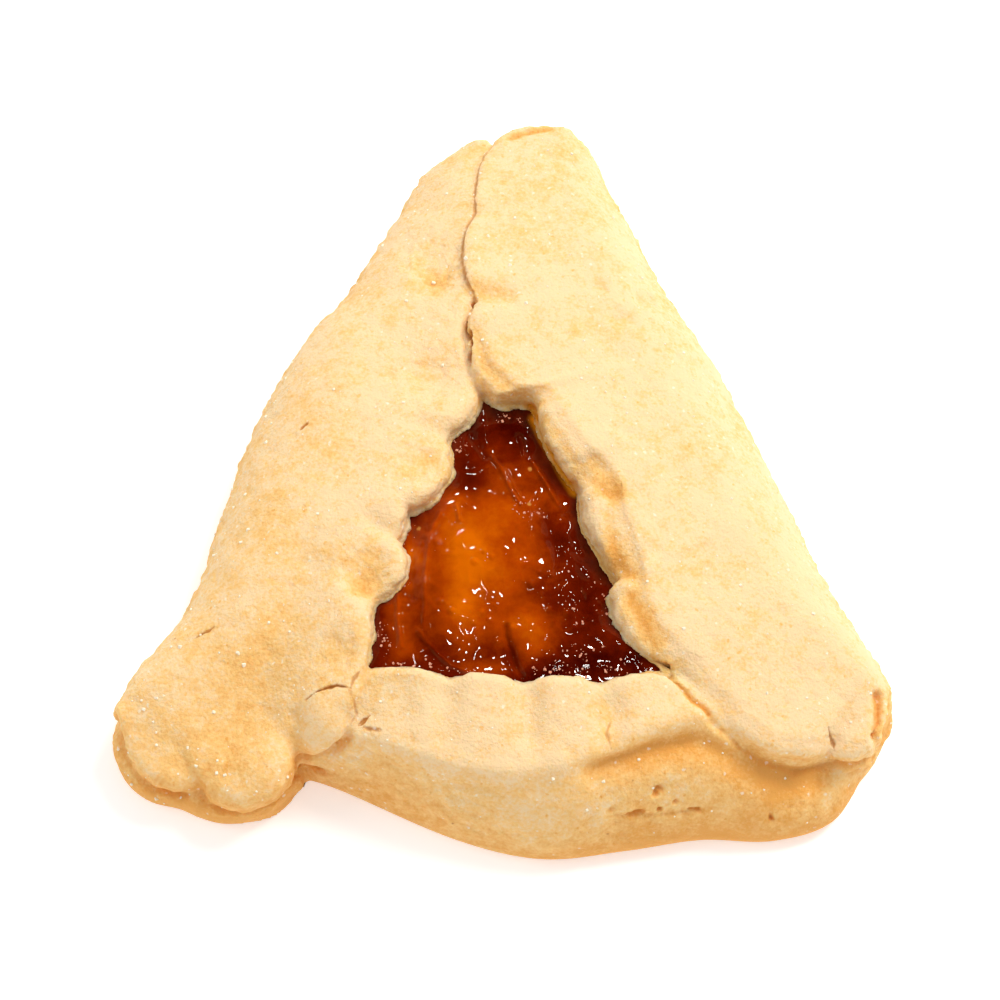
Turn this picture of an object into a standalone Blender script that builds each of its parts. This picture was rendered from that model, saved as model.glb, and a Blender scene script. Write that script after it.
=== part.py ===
"""Hamantaschen: a fluted round of shortcrust dough folded into a triangle over apricot jam.

Three flaps are folded up and over the jam. The front one went over first, the left one lies on it,
and the right one lies on both. Each flap is built from stations along its fold: at a station the
dough leaves the flat bottom, climbs the wall, turns over at the shoulder and rises to its scalloped
rim. The flaps and the bottom round are fused into one solid of dough, and the jam sits in the pocket
under the opening.

Plan positions are in millimetres, x to the right and y to the back corner, with the origin under the
middle of the biscuit. Blender's units are metres.
"""

import math
from collections import namedtuple

import bmesh
import bpy
import numpy as np
from mathutils import Vector, noise

MM = 0.001

# The dough
BOTTOM = 3.8           # thickness of the round under the jam
RIM_FADE = 7.0         # how far a lobe of the rim is felt into the flap
BLUNT = 0.8            # drop of the rounded rim, as a share of its width
STEP_WIDTH = 0.28      # width of the step at the top of a cut face, as a share of the rim's width
STEADY_BELOW = 2.0     # the skin stays where it is below this height
FLATTENED = 0.35       # the underside is flat where it comes this near the ground
NEARLY_UPRIGHT = 0.97  # how near the rounded rim comes to upright at its end
PINCHED = 10.4         # a rim this low lies on the cut edge of the bottom round, and stops there
PINCHING = 1.2         # how gradually a rim comes down to it
LOBE_FULLNESS = 0.8    # how round the lobes of the rim are, where 1 is half a sine wave
SHOULDER_REACH = 0.75  # the furthest that a shoulder lies from the fold, as a share of the flap
PACKED_TO_FOLD = 1.35  # how much closer the points of a section stand near the fold
WALL_INSET = 2.2       # how far inside the folds the bottom round ends
FRONT_INSET = 1.0      # the same along the front
ROUND_EDGE = 1.2       # rounding of the bottom round's edge
CORNER_EDGE = 1.4      # rounding of the corners' edges
CORNER_TO_MIDDLE = 0.9 # how far out a corner's slab begins, as a share of the way to its ends
UNEVEN = 0.35          # how far the hand-made surface wanders
UNEVEN_SIZE = 10.0
DENT_SHARE = 0.4       # share of that in the smaller dents
DENT_SIZE = 4.0

# The meshes
OVERLAP = 0.2          # how far one shape reaches into the next before they are fused
VOXEL = 0.5            # grid that fuses the flaps
SMOOTHING = 2
ALONG, ACROSS = 200, 44
DOUGH_TRIANGLES = 11400
JAM_TRIANGLES = 1900
GAP = 0.4              # clearance between the jam and the dough

COLOURS = {
    "dough": ((0.90, 0.72, 0.42), 0.75),
    "jam": ((0.45, 0.10, 0.01), 0.15),
}

# One station of a flap: the plan point on its fold and the distance from there to the shoulder, the
# shoulder's height, the plan point and height of the rim, the width of the rim's rounding, how far
# the lobe between this station and the next stands out, and the depth of the flute crease here.
Station = namedtuple("Station", "fold shoulder crest rim top blunt lobe flute")

# One flap: its stations, the height where it is fattest, how far the bottom edge is tucked in, how
# full the wall is (1 is straight, 2 an ellipse), the width and length of its flute creases, and the
# share of the rim's drop that is a step at its upper edge, where the rim is a cut face.
Flap = namedtuple("Flap", "stations fattest tuck full flute_width flute_length step")

LEFT = Flap([
    Station((-37.2, -26.4), 2.0, 7.2, (-36.1, -26.8), 6.2, 1.2, 2.5, 0.0),
    Station((-35.3, -22.4), 4.0, 8.6, (-28.6, -33.2), 6.3, 1.3, 3.0, 0.2),
    Station((-31.8, -17.4), 7.0, 10.2, (-19.4, -31.0), 9.0, 1.4, 1.0, 0.4),
    Station((-29.6, -12.8), 8.5, 11.6, (-14.7, -28.8), 11.9, 1.4, 0.2, 0.3),
    Station((-28.6, -9.4), 9.0, 12.4, (-13.0, -24.2), 13.4, 1.4, 0.0, 0.0),
    Station((-28.0, -6.8), 9.3, 12.8, (-12.7, -21.2), 14.0, 1.5, 0.0, 0.0),
    Station((-27.6, -4.8), 9.5, 13.0, (-12.1, -17.5), 14.2, 1.5, 2.1, 0.9),
    Station((-26.6, -0.6), 9.5, 13.2, (-10.3, -11.5), 14.5, 1.5, 0.4, 0.9),
    Station((-26.2, 1.0), 9.5, 13.2, (-9.2, -8.1), 14.6, 1.6, 2.1, 0.0),
    Station((-23.9, 6.8), 9.0, 13.2, (-5.4, -0.4), 14.3, 1.6, 0.5, 0.8),
    Station((-21.4, 11.6), 8.5, 12.8, (-2.3, 4.6), 13.4, 1.4, 0.0, 0.0),
    Station((-19.0, 15.6), 8.0, 12.5, (-3.5, 8.0), 13.4, 1.0, 0.0, 0.0),
    Station((-16.4, 19.2), 7.5, 12.2, (-3.6, 13.2), 13.3, 1.2, 0.0, 0.0),
    Station((-13.2, 24.8), 6.5, 11.4, (-1.2, 20.0), 12.9, 1.5, 0.0, 0.0),
    Station((-11.0, 29.5), 6.0, 10.6, (-0.3, 27.0), 11.9, 1.2, 0.0, 0.0),
    Station((-8.6, 34.0), 5.0, 9.6, (-0.6, 33.0), 10.0, 1.5, 0.0, 0.0),
    Station((-4.6, 37.2), 3.0, 8.6, (-1.2, 36.8), 8.6, 1.0, 0.0, 0.0),
], fattest=4.8, tuck=2.2, full=2.0, flute_width=1.2, flute_length=6.0, step=0.0)

RIGHT = Flap([
    Station((8.0, 37.8), 2.0, 9.4, (5.2, 38.2), 9.4, 0.8, 0.5, 0.0),
    Station((9.9, 36.0), 4.0, 9.8, (-1.2, 35.4), 10.0, 0.8, 0.2, 0.0),
    Station((12.0, 30.4), 5.5, 11.0, (-2.8, 25.6), 12.3, 0.6, 1.2, 0.4),
    Station((16.8, 19.0), 7.0, 12.9, (-2.6, 14.6), 14.4, 0.8, 1.2, 0.7),
    Station((20.6, 12.4), 7.6, 13.4, (-1.3, 4.3), 15.5, 2.2, 0.3, 0.0),
    Station((22.4, 9.2), 8.0, 13.6, (3.1, 3.3), 15.8, 1.8, 1.0, 0.7),
    Station((25.4, 2.4), 8.0, 13.8, (7.0, -5.3), 16.2, 3.4, 0.0, 0.7),
    Station((26.2, 0.4), 8.0, 13.8, (7.4, -8.2), 16.2, 4.3, 0.5, 0.0),
    Station((28.8, -6.0), 8.0, 13.6, (10.6, -15.2), 15.9, 3.2, 0.0, 0.7),
    Station((29.5, -7.8), 7.8, 13.4, (10.4, -17.9), 15.5, 3.6, 1.3, 0.0),
    Station((31.2, -12.4), 7.0, 13.0, (16.7, -24.9), 13.9, 2.0, 0.0, 0.0),
    Station((33.4, -17.0), 5.5, 12.2, (20.0, -28.0), 12.4, 1.6, 1.8, 0.0),
    Station((35.8, -21.4), 4.0, 11.0, (30.4, -31.2), 10.2, 1.6, 2.0, 1.0),
    Station((37.2, -24.4), 2.0, 9.4, (35.9, -26.6), 9.0, 0.8, 0.0, 0.0),
], fattest=4.8, tuck=2.2, full=2.0, flute_width=1.2, flute_length=7.5, step=0.2)

FRONT = Flap([
    Station((-19.4, -31.2), 2.0, 7.4, (-15.5, -27.0), 11.0, 1.0, 0.0, 0.0),
    Station((-15.4, -32.6), 2.6, 10.4, (-12.7, -24.6), 13.0, 1.0, 0.4, 0.6),
    Station((-4.7, -37.4), 3.9, 11.6, (-5.0, -25.5), 13.7, 1.0, 0.6, 0.8),
    Station((3.6, -39.4), 5.3, 11.8, (1.9, -26.1), 13.7, 1.0, 0.7, 0.8),
    Station((11.6, -38.6), 6.2, 12.3, (9.1, -26.0), 13.5, 1.0, 0.8, 0.8),
    Station((18.8, -37.5), 8.2, 12.4, (17.0, -25.6), 12.8, 1.0, 0.0, 0.0),
    Station((25.6, -37.6), 7.0, 10.0, (22.5, -27.0), 10.8, 1.0, 0.0, 0.0),
    Station((31.4, -35.7), 5.0, 8.0, (28.0, -27.5), 8.6, 1.0, 0.0, 0.0),
    Station((34.9, -30.6), 3.0, 6.8, (33.0, -26.5), 7.0, 1.0, 0.0, 0.0),
], fattest=1.8, tuck=1.0, full=1.45, flute_width=1.5, flute_length=9.0, step=0.0)

# Hollows left by fingers: plan point, radius and depth
HOLLOWS = [((-7.2, 6.4), 2.6, 0.7), ((-7.6, -3.4), 2.4, 0.6), ((-12.8, -14.9), 2.2, 0.6),
           ((-20.7, -18.1), 3.0, 0.8), ((-22.4, -24.6), 3.0, 0.8), ((-26.6, -32.0), 2.2, 0.5),
           ((-7.0, 20.6), 2.6, 0.5), ((11.9, 12.8), 1.6, 0.3)]

# The bottom round where its cut edge shows at the corners, from the fold of one flap to the next
CORNERS = {
    "front_right": ([(34.9, -31.0), (36.2, -29.0), (37.4, -26.0), (36.6, -23.6)], 7.2),
    "back": ([(9.4, 35.8), (7.2, 38.3), (4.4, 38.5), (0.6, 37.8), (-3.4, 37.5), (-5.4, 36.2)], 6.8),
    "front_left": ([(-37.0, -25.6), (-37.6, -28.4), (-36.3, -31.6), (-34.0, -33.6), (-31.0, -34.4),
                    (-29.0, -35.3), (-26.4, -35.9), (-22.4, -35.2), (-20.4, -33.2), (-19.2, -31.4)],
                   4.4),
}

# The jam
JAM_REACH = 5.0        # how far the jam goes on under the flaps, past the opening
JAM_CROWN = 12.9       # its height in the middle of the opening
JAM_SHORE = 11.5       # its height where it meets the rims
JAM_EDGE = 7.4         # its height at its hidden outer edge
JAM_ROUND = 1.5        # rounding of that edge
JAM_HOLLOW = 1.5       # how quickly its top falls away under the flaps
JAM_DOME = 2.2         # how flat the top of its mound is
OPENING_MIDDLE = (-0.5, -14.5)
BOUNDS = [(FRONT, (1, 6)), (RIGHT, (4, 11)), (LEFT, (4, 11))]  # the stations that bound the opening


def spline(points, count):
    """count points along a smooth curve through the given ones, with the same share for each gap."""
    points = np.asarray(points, float)
    ends = np.vstack([2 * points[0] - points[1], points, 2 * points[-1] - points[-2]])
    at = np.linspace(0, len(points) - 1, count)
    gap = np.minimum(at.astype(int), len(points) - 2)
    t = (at - gap)[:, None]
    a, b, c, d = (ends[gap + k] for k in range(4))
    return 0.5 * (2 * b + (c - a) * t + (2 * a - 5 * b + 4 * c - d) * t**2
                  + (3 * b - a - 3 * c + d) * t**3)


def evenly(path, count):
    """The same path, resampled at count equal steps along its length."""
    along = np.concatenate([[0], np.cumsum(np.linalg.norm(np.diff(path, axis=0), axis=1))])
    at = np.linspace(0, along[-1], count)
    return np.column_stack([np.interp(at, along, column) for column in path.T])


def ease(x):
    """0 below 0, 1 above 1, and smooth between."""
    x = np.clip(x, 0, 1)
    return x * x * (3 - 2 * x)


def rails(flap, count):
    """The flap's stations made dense: fold, numbers, rim, how far its lobes stand out, and creases."""
    rows = flap.stations
    fold = spline([s.fold for s in rows], count)
    numbers = spline([(s.shoulder, s.crest, s.top, s.blunt) for s in rows], count)
    rim = spline([s.rim for s in rows], count)
    at = np.linspace(0, len(rows) - 1, count)
    between = at - np.floor(at)
    lobe = np.interp(np.minimum(at, len(rows) - 1.001).astype(int), range(len(rows)),
                     [s.lobe for s in rows])
    standing = lobe * np.sin(math.pi * between) ** LOBE_FULLNESS
    along = np.concatenate([[0], np.cumsum(np.linalg.norm(np.diff(rim, axis=0), axis=1))])
    creases = np.zeros(count)
    for k, row in enumerate(rows):
        apart = (along - np.interp(k, at, along)) / flap.flute_width
        creases += row.flute * np.exp(-apart**2)
    return fold, numbers, rim, standing, creases


def section(flap, length, shoulder, crest, top, blunt):
    """One cross-section: distances in from the fold and heights, from the bottom round to the rim."""
    shoulder = min(shoulder, SHOULDER_REACH * length)
    turn = np.linspace(0, math.pi / 2, ACROSS // 4)[:-1]
    low = (flap.tuck * (1 - np.sin(turn)), flap.fattest * (1 - np.cos(turn)))
    into = length * np.linspace(0, 1, ACROSS) ** PACKED_TO_FOLD
    roof = crest + (top - crest) * (into - shoulder) / max(length - shoulder, 1.0)
    full = np.clip(into / shoulder, 0, 1)
    rise = (1 - (1 - full) ** flap.full) ** (1 / flap.full)
    height = flap.fattest + (roof - flap.fattest) * rise
    past = np.clip((into - (length - blunt)) / blunt, 0, 1)
    rounding = 1 - np.sqrt(1 - NEARLY_UPRIGHT * past**2)
    height -= BLUNT * blunt * ((1 - flap.step) * rounding + flap.step * ease(past / STEP_WIDTH))
    under = BOTTOM * float(ease((PINCHED - top) / PINCHING + 1)) + OVERLAP
    return np.concatenate([low[0], into, [length]]), np.concatenate([low[1], height, [under]])


def flap_solid(name, flap):
    """A flap as one closed solid, from the bottom up to its outer face."""
    fold, numbers, rim, standing, creases = rails(flap, ALONG)
    way = rim - fold
    lengths = np.maximum(np.linalg.norm(way, axis=1), 1.0)
    way = way / lengths[:, None]
    tangent = np.gradient(rim, axis=0)
    outward = np.column_stack([tangent[:, 1], -tangent[:, 0]])
    outward /= np.linalg.norm(outward, axis=1)[:, None]
    outward *= np.sign(np.sum(outward * way))
    rings = []
    for i, length in enumerate(lengths):
        distance, heights = section(flap, length, *numbers[i])
        from_rim = length - distance
        heights = heights - creases[i] * ease(1 - from_rim / flap.flute_length) * (heights > BOTTOM)
        felt = ease(1 - from_rim / min(RIM_FADE, length))
        plan = fold[i] + way[i] * distance[:, None] + outward[i] * (standing[i] * felt)[:, None]
        rings.append(np.column_stack([plan, np.maximum(heights, 0)]))
    return rings_solid(name, rings)


def rings_solid(name, rings):
    """A closed mesh through a stack of rings of points, with a fan on the first and the last."""
    mesh = bmesh.new()
    loops = [[mesh.verts.new(Vector(p) * MM) for p in ring] for ring in rings]
    count = len(loops[0])
    for low, high in zip(loops, loops[1:]):
        for i in range(count):
            j = (i + 1) % count
            mesh.faces.new((low[i], low[j], high[j], high[i]))
    for ring in (loops[0], loops[-1]):
        middle = mesh.verts.new(sum((v.co for v in ring), Vector()) / count)
        for i in range(count):
            mesh.faces.new((ring[i], ring[(i + 1) % count], middle))
    bmesh.ops.recalc_face_normals(mesh, faces=mesh.faces)
    if mesh.calc_volume(signed=True) < 0:
        bmesh.ops.reverse_faces(mesh, faces=mesh.faces)
    return mesh_object(name, mesh)


def mesh_object(name, mesh):
    """Links a finished bmesh to the scene as an object."""
    data = bpy.data.meshes.new(name)
    mesh.to_mesh(data)
    mesh.free()
    made = bpy.data.objects.new(name, data)
    bpy.context.scene.collection.objects.link(made)
    return made


def inset(points, distance):
    """The points moved in from the outline, to the right of the way they run."""
    points = np.asarray(points, float)
    way = np.gradient(points, axis=0)
    side = np.column_stack([-way[:, 1], way[:, 0]])
    return points + side / np.linalg.norm(side, axis=1)[:, None] * distance


def plate(name, outline, top, round_off):
    """A flat slab with a rounded edge, on a closed plan outline."""
    middle = outline.mean(axis=0)
    reach = np.linalg.norm(outline - middle, axis=1)[:, None]
    rings = []
    for turn in np.linspace(-math.pi / 2, math.pi / 2, 9):
        plan = middle + (outline - middle) * (1 - round_off * (1 - math.cos(turn)) / reach)
        rings.append(np.column_stack([plan, np.full(len(plan), top / 2 * (1 + math.sin(turn)))]))
    return rings_solid(name, rings)


def bottom_solids():
    """The round under the jam, and the thicker dough of its three corners."""
    folds = {"left": LEFT, "right": RIGHT, "front": FRONT}
    sides = {key: [s.fold for s in flap.stations][1:-1] for key, flap in folds.items()}
    path = [*inset(sides["front"], FRONT_INSET), *CORNERS["front_right"][0],
            *inset(sides["right"][::-1], WALL_INSET), *CORNERS["back"][0],
            *inset(sides["left"][::-1], WALL_INSET), *CORNERS["front_left"][0]]
    outline = evenly(spline(path + path[:1], 400), 181)[:-1]
    made = [plate("bottom_round", outline, BOTTOM, ROUND_EDGE)]
    for key, (rim, top) in CORNERS.items():
        inner = (np.array(rim[0]) + np.array(rim[-1])) / 2 * CORNER_TO_MIDDLE
        loop = rim + [tuple(inner)]
        edge = evenly(spline(loop + loop[:1], 160), 61)[:-1]
        made.append(plate(key, edge, top, CORNER_EDGE))
    return made


def opening():
    """The plan outline of the opening, along the rims of the three flaps."""
    front, right, left = ([station.rim for station in flap.stations[first:last]]
                          for flap, (first, last) in BOUNDS)
    return evenly(spline(front + right[::-1] + left[::-1], 300), 97)[:-1]


def widened(ring, distance):
    """A closed plan outline moved outwards, square to itself."""
    way = np.roll(ring, -1, axis=0) - np.roll(ring, 1, axis=0)
    side = np.column_stack([way[:, 1], -way[:, 0]])
    side /= np.linalg.norm(side, axis=1)[:, None]
    outwards = np.sign(np.sum(side * (ring - ring.mean(axis=0))))
    return ring + side * outwards * distance


def jam_solid(name, grown):
    """The jam, as a low mound that goes on under the flaps. grown is added all round it."""
    around = opening()
    middle = np.array(OPENING_MIDDLE)
    way = around - middle
    reach = np.linalg.norm(way, axis=1)
    way /= reach[:, None]
    bottom = BOTTOM + GAP
    steps = [(None, share, bottom, -1) for share in (0.3, 0.6, 0.85)]
    for turn in np.linspace(-math.pi / 2, math.pi / 2, 8):
        height = (JAM_EDGE + bottom) / 2 + (JAM_EDGE - bottom) / 2 * math.sin(turn)
        steps.append((JAM_REACH - JAM_ROUND * (1 - math.cos(turn)), None, height, math.sin(turn)))
    for share in (0.66, 0.45, 0.2, 0.0):
        height = JAM_SHORE + (JAM_EDGE - JAM_SHORE) * share**JAM_HOLLOW
        steps.append((JAM_REACH * share, None, height, 1))
    for share in (0.9, 0.75, 0.55, 0.35, 0.15):
        steps.append((None, share, JAM_CROWN + (JAM_SHORE - JAM_CROWN) * share**JAM_DOME, 1))
    rings = []
    for past, share, height, up in steps:
        out = reach + past if share is None else reach * share
        plan = widened(middle + way * out[:, None], grown)
        rings.append(np.column_stack([plan, np.full(len(plan), height + up * grown)]))
    return rings_solid(name, rings)


def joined(name, parts):
    """One object that holds the meshes of several, which are removed."""
    mesh = bmesh.new()
    for part in parts:
        mesh.from_mesh(part.data)
        bpy.data.objects.remove(part)
    return mesh_object(name, mesh)


def applied(target):
    """Replaces the object's mesh with the one its modifiers make."""
    graph = bpy.context.evaluated_depsgraph_get()
    data = bpy.data.meshes.new_from_object(target.evaluated_get(graph))
    target.modifiers.clear()
    target.data = data


def keep_largest(target):
    """Drops every loose shell but the largest, which fills hollows that the fusing has sealed."""
    mesh = bmesh.new()
    mesh.from_mesh(target.data)
    seen, shells = set(), []
    for start in mesh.verts:
        if start in seen:
            continue
        shell, waiting = [], [start]
        seen.add(start)
        while waiting:
            vert = waiting.pop()
            shell.append(vert)
            for edge in vert.link_edges:
                other = edge.other_vert(vert)
                if other not in seen:
                    seen.add(other)
                    waiting.append(other)
        shells.append(shell)
    shells.sort(key=len)
    for shell in shells[:-1]:
        bmesh.ops.delete(mesh, geom=shell, context="VERTS")
    mesh.to_mesh(target.data)
    mesh.free()


def fused(target):
    """Fuses overlapping closed shapes into one, by Blender's voxel remesh and a little smoothing."""
    remesh = target.modifiers.new("Fuse", "REMESH")
    remesh.mode = "VOXEL"
    remesh.voxel_size = VOXEL * MM
    applied(target)
    keep_largest(target)
    smooth = target.modifiers.new("Soften", "SMOOTH")
    smooth.factor = 0.5
    smooth.iterations = SMOOTHING
    applied(target)


def roughened(target):
    """Moves the surface in and out a little, as a hand leaves it, and keeps the bottom flat."""
    count = len(target.data.vertices)
    places, normals = np.empty(count * 3), np.empty(count * 3)
    target.data.vertices.foreach_get("co", places)
    target.data.vertices.foreach_get("normal", normals)
    places, normals = places.reshape(-1, 3) / MM, normals.reshape(-1, 3)
    wander = np.array([noise.noise(place / UNEVEN_SIZE) + DENT_SHARE * noise.noise(place / DENT_SIZE)
                       for place in places])
    lift = UNEVEN * wander
    for middle, radius, depth in HOLLOWS:
        apart = np.linalg.norm(places[:, :2] - middle, axis=1) / radius
        lift -= depth * np.exp(-apart**2) * (normals[:, 2] > 0.2)
    lift *= ease((places[:, 2] - STEADY_BELOW) / STEADY_BELOW / 2)
    places += normals * lift[:, None]
    places[places[:, 2] < FLATTENED, 2] = 0
    target.data.vertices.foreach_set("co", (places * MM).ravel())
    target.data.update()


def cut(target, cutter):
    """Takes the cutter's shape out of the target, and removes the cutter."""
    boolean = target.modifiers.new("Pocket", "BOOLEAN")
    boolean.operation = "DIFFERENCE"
    boolean.solver = "MANIFOLD"  # EXACT returns an empty mesh here
    boolean.object = cutter
    applied(target)
    bpy.data.objects.remove(cutter)


def thinned(target, triangles):
    """Brings the mesh down to about the given number of triangles."""
    mesh = bmesh.new()
    mesh.from_mesh(target.data)
    bmesh.ops.triangulate(mesh, faces=mesh.faces)
    mesh.to_mesh(target.data)
    count = len(mesh.faces)
    mesh.free()
    if count > triangles:
        decimate = target.modifiers.new("Thin", "DECIMATE")
        decimate.ratio = triangles / count
        applied(target)


def stood(dough, jam):
    """Moves both so that the middle of the biscuit's flat underside is the origin."""
    places = np.array([vert.co for vert in dough.data.vertices])
    low, high = places.min(axis=0), places.max(axis=0)
    shift = Vector((-(low[0] + high[0]) / 2, -(low[1] + high[1]) / 2, 0))
    for target in (dough, jam):
        for vert in target.data.vertices:
            vert.co += shift
            if vert.co.z < FLATTENED * MM / 4:
                vert.co.z = 0


def finish(target, key):
    """Gives a node its material and smooth shading."""
    colour, roughness = COLOURS[key]
    material = bpy.data.materials.new(key)
    material.use_nodes = True
    shader = material.node_tree.nodes["Principled BSDF"]
    shader.inputs["Base Color"].default_value = (*colour, 1)
    shader.inputs["Roughness"].default_value = roughness
    shader.inputs["Metallic"].default_value = 0
    target.data.materials.clear()
    target.data.materials.append(material)
    target.data.shade_smooth()
    target.data.set_sharp_from_angle(angle=math.radians(60))


def main():
    """Builds the dough and the jam."""
    for old in list(bpy.data.objects):
        bpy.data.objects.remove(old)
    flaps = [flap_solid("left_flap", LEFT), flap_solid("right_flap", RIGHT),
             flap_solid("front_flap", FRONT)]
    dough = joined("dough", flaps + bottom_solids() + [jam_solid("plug", 0.0)])
    fused(dough)
    roughened(dough)
    cut(dough, jam_solid("pocket", GAP))
    keep_largest(dough)
    thinned(dough, DOUGH_TRIANGLES)
    jam = jam_solid("jam", 0.0)
    thinned(jam, JAM_TRIANGLES)
    stood(dough, jam)
    finish(dough, "dough")
    finish(jam, "jam")


if __name__ == "__main__":
    main()
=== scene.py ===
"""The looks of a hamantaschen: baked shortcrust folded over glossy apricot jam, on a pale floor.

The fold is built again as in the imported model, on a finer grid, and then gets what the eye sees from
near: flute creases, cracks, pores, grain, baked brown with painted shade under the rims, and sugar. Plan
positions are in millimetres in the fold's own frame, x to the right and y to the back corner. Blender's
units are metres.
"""

from __future__ import annotations

import logging
import math
from dataclasses import dataclass, field
from enum import Enum
from typing import Iterable, Sequence

import bmesh
import bpy
import numpy as np
from mathutils import Matrix, Vector, noise
from mathutils.bvhtree import BVHTree

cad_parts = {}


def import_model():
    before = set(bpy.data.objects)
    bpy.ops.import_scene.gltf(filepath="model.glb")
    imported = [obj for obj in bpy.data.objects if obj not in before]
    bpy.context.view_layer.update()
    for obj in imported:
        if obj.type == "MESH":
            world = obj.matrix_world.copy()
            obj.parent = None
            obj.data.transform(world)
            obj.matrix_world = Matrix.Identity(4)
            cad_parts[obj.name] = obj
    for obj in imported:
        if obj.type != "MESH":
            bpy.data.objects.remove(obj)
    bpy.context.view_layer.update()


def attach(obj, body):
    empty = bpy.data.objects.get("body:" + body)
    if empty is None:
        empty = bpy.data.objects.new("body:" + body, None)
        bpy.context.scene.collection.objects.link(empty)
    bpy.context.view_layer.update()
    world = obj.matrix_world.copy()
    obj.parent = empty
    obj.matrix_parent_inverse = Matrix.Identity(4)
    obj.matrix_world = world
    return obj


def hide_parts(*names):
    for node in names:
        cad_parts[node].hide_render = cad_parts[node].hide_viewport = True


LOG = logging.getLogger("hamantaschen")
MM = 0.001
MIDDLE = (-0.09, -0.42)  # the plan point of the fold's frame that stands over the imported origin
BOTTOM = 3.8  # the thickness of the round under the jam, in millimetres

Array = np.ndarray
Plan = tuple[float, float]
Colour = tuple[float, float, float]


def ease(x: Array | float) -> Array:
    """Returns 0 below 0, 1 above 1 and a smooth rise between, for each number in x."""
    x = np.clip(x, 0.0, 1.0)
    return x * x * (3 - 2 * x)


def spline(points: Sequence[Sequence[float]] | Array, count: int) -> Array:
    """Puts a smooth curve through points.

    Args:
        points: The points to pass through, in any number of dimensions.
        count: How many points to return, with the same share for each gap.

    Returns:
        The points of the curve, one to a row.
    """
    points = np.asarray(points, float)
    ends = np.vstack([2 * points[0] - points[1], points, 2 * points[-1] - points[-2]])
    at = np.linspace(0, len(points) - 1, count)
    gap = np.minimum(at.astype(int), len(points) - 2)
    t = (at - gap)[:, None]
    a, b, c, d = (ends[gap + k] for k in range(4))
    return 0.5 * (2 * b + (c - a) * t + (2 * a - 5 * b + 4 * c - d) * t**2
                  + (3 * b - a - 3 * c + d) * t**3)


def evenly(path: Array, count: int) -> Array:
    """Resamples a path.

    Args:
        path: The path's points, one to a row.
        count: How many points to return.

    Returns:
        Points at equal steps along the path's length.
    """
    along = np.concatenate([[0], np.cumsum(np.linalg.norm(np.diff(path, axis=0), axis=1))])
    at = np.linspace(0, along[-1], count)
    return np.column_stack([np.interp(at, along, column) for column in path.T])


def along_path(path: Array, places: Array) -> tuple[Array, Array]:
    """Measures how far places lie from a path, and where along it.

    Args:
        path: The path's corners, one to a row, in two or three dimensions.
        places: The points to measure from, in three dimensions.

    Returns:
        The distance of each place, and the share of the path's length at the nearest point.
    """
    spots = places[:, :path.shape[1]]
    nearest = np.full(len(spots), np.inf)
    share = np.full(len(spots), 0.5)
    lengths = np.linalg.norm(np.diff(path, axis=0), axis=1)
    walked = np.concatenate([[0], np.cumsum(lengths)])
    for start, end, before, length in zip(path, path[1:], walked, lengths):
        way = end - start
        t = np.clip((spots - start) @ way / max(way @ way, 1e-9), 0, 1)
        apart = np.linalg.norm(spots - start - t[:, None] * way, axis=1)
        closer = apart < nearest
        nearest = np.where(closer, apart, nearest)
        share = np.where(closer, (before + t * length) / walked[-1], share)
    return nearest, share


def distance_to(path: Array, places: Array) -> Array:
    """Measures how far places lie from a path.

    Args:
        path: The path's corners, one to a row, in two or three dimensions.
        places: The points to measure from, in three dimensions.

    Returns:
        The distance of each place, in plan if the path is a plan path.
    """
    if len(path) == 1:
        return np.linalg.norm(places[:, :path.shape[1]] - path[0], axis=1)
    return along_path(path, places)[0]


def wander(places: Array, size: float, seed: float) -> Array:
    """Reads smooth noise at places.

    Args:
        places: Points in millimetres.
        size: The width of the noise's lumps, in millimetres.
        seed: A shift that picks another stretch of the noise.

    Returns:
        A number between about -1 and 1 for each place.
    """
    shift = Vector((seed * 17.3, seed * 7.9, seed * 3.1))
    return np.array([noise.noise(Vector(p) + shift) for p in (places / size)])


@dataclass(frozen=True)
class Station:
    """One cross-section of a flap, between its fold and its rim."""

    fold: Plan
    shoulder: float
    crest: float
    rim: Plan
    top: float
    blunt: float
    lobe: float
    flute: float


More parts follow.
